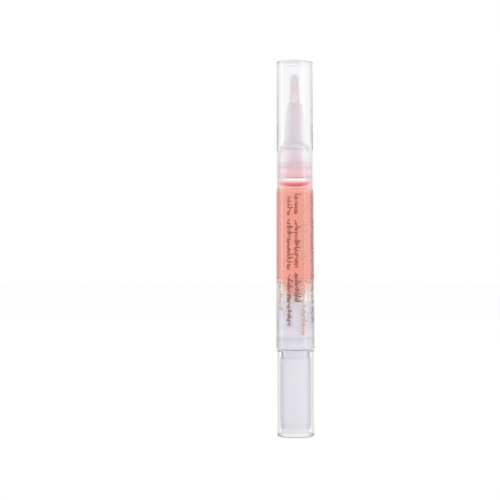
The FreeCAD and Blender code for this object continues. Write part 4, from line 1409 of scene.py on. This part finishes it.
def light_world(strength):
    """Even light for the pen, and a white room for the eye, gloss and glass."""
    world = bpy.data.worlds.new("studio")
    bpy.context.scene.world = world
    room = ShaderTree(world, "ShaderNodeOutputWorld")
    even = room.shader("ShaderNodeBackground", color=(1.0, 0.995, 0.99), strength=strength)
    height = room.split(room.node("ShaderNodeTexCoord").outputs["Generated"])[2]
    fall = room.remap(room.maths("ABSOLUTE", height), 0.6, 1.0, 1.0, 0.75)
    glow = room.maths("MAXIMUM", fall, room.rays("Camera"))
    white = room.shader("ShaderNodeBackground", color=WHITE, strength=glow)
    seen = room.rays("Camera", "Glossy", "Transmission")
    room.put(room.exit.inputs["Surface"], room.blend(seen, even, white))


# Lamps: name, place in metres, width and height in metres, power in watts.
LAMPS = (
    ("key_lamp", (-0.45, -0.95, 0.75), 0.6, 0.8, 2.4),
    ("fill_lamp", (0.85, -0.75, 0.55), 0.6, 0.8, 1.8),
    ("left_strip", (-0.74, -0.02, 0.10), 0.2, 0.9, 0.7),
    ("right_strip", (0.66, -0.36, 0.10), 0.2, 0.9, 0.8),
    ("back_lamp", (0.35, 0.95, 0.65), 0.6, 0.6, 4.0),
)
SENSOR_WIDTH = 36.0
BOUNCES = {
    "max_bounces": 32,
    "diffuse_bounces": 8,
    "glossy_bounces": 32,
    "transmission_bounces": 32,
    "transparent_max_bounces": 64,
}


def hang_lamps(scene):
    """Area lamps that aim at the middle of the pen and don't show through glass."""
    aim = Vector((0.0, 0.0, CAP_TOP / 2))
    for name, place, width, height, power in LAMPS:
        lamp = bpy.data.lights.new(name, "AREA")
        lamp.shape = "RECTANGLE"
        lamp.size = width
        lamp.size_y = height
        lamp.energy = power
        holder = bpy.data.objects.new(name, lamp)
        holder.location = place
        holder.rotation_euler = (aim - Vector(place)).to_track_quat("-Z", "Y").to_euler()
        holder.visible_transmission = False
        scene.collection.objects.link(holder)


class OILPEN_OT_stage(bpy.types.Operator):
    """Set up the floor, the light and the camera"""

    bl_idname = "oil_pen.stage"
    bl_label = "Stage"

    def execute(self, context):
        settings = context.scene.oil_pen_stage
        scene = context.scene
        half = settings.floor_size / 2
        mesh = bpy.data.meshes.new("floor")
        sides = ((-half, -half), (half, -half), (half, half), (-half, half))
        mesh.from_pydata([(x, y, -settings.floor_drop) for x, y in sides], [], [(0, 1, 2, 3)])
        mesh.materials.append(floor_finish())
        new_piece("floor", mesh)
        light_world(settings.room_light)
        hang_lamps(scene)

        lens = bpy.data.cameras.new("camera")
        distance = settings.camera_distance
        lens.sensor_width = SENSOR_WIDTH
        lens.lens = lens.sensor_width * distance / settings.frame_width
        camera = bpy.data.objects.new("camera", lens)
        camera.location = (-settings.camera_side, -distance, settings.camera_height)
        camera.rotation_euler = (math.radians(90), settings.roll, 0.0)
        scene.collection.objects.link(camera)
        scene.camera = camera
        scene.view_settings.view_transform = "Standard"
        for name, count in BOUNCES.items():
            setattr(scene.cycles, name, count)
        return {"FINISHED"}


STEPS = (
    OILPEN_OT_barrel,
    OILPEN_OT_printing,
    OILPEN_OT_oil,
    OILPEN_OT_nozzle,
    OILPEN_OT_brush,
    OILPEN_OT_cap,
    OILPEN_OT_knob,
    OILPEN_OT_works,
    OILPEN_OT_stage,
)

SETTINGS = {
    "oil_pen_shells": PenShellSizes,
    "oil_pen_nozzle": PenNozzleSizes,
    "oil_pen_oil": PenOilSizes,
    "oil_pen_brush": PenBrushSizes,
    "oil_pen_print": PenPrintSizes,
    "oil_pen_colours": PenColours,
    "oil_pen_stage": PenStageSettings,
}


class OILPEN_PT_panel(bpy.types.Panel):
    """Lists the steps that build the pen"""

    bl_idname = "OILPEN_PT_panel"
    bl_label = "Nail Oil Pen"
    bl_space_type = "VIEW_3D"
    bl_region_type = "UI"
    bl_category = "Oil Pen"

    def draw(self, context):
        for step in STEPS:
            self.layout.operator(step.bl_idname)


CLASSES = (*SETTINGS.values(), *STEPS, OILPEN_PT_panel)


def register():
    for part in CLASSES:
        bpy.utils.register_class(part)
    for name, group in SETTINGS.items():
        setattr(bpy.types.Scene, name, PointerProperty(type=group))


def unregister():
    for name in SETTINGS:
        delattr(bpy.types.Scene, name)
    for part in reversed(CLASSES):
        bpy.utils.unregister_class(part)


def main():
    """Builds every piece in order."""
    register()
    bpy.ops.oil_pen.barrel()
    bpy.ops.oil_pen.printing()
    bpy.ops.oil_pen.oil()
    bpy.ops.oil_pen.nozzle()
    bpy.ops.oil_pen.brush()
    bpy.ops.oil_pen.cap()
    bpy.ops.oil_pen.knob()
    bpy.ops.oil_pen.works()
    bpy.ops.oil_pen.stage()


if __name__ == "__main__":
    main()
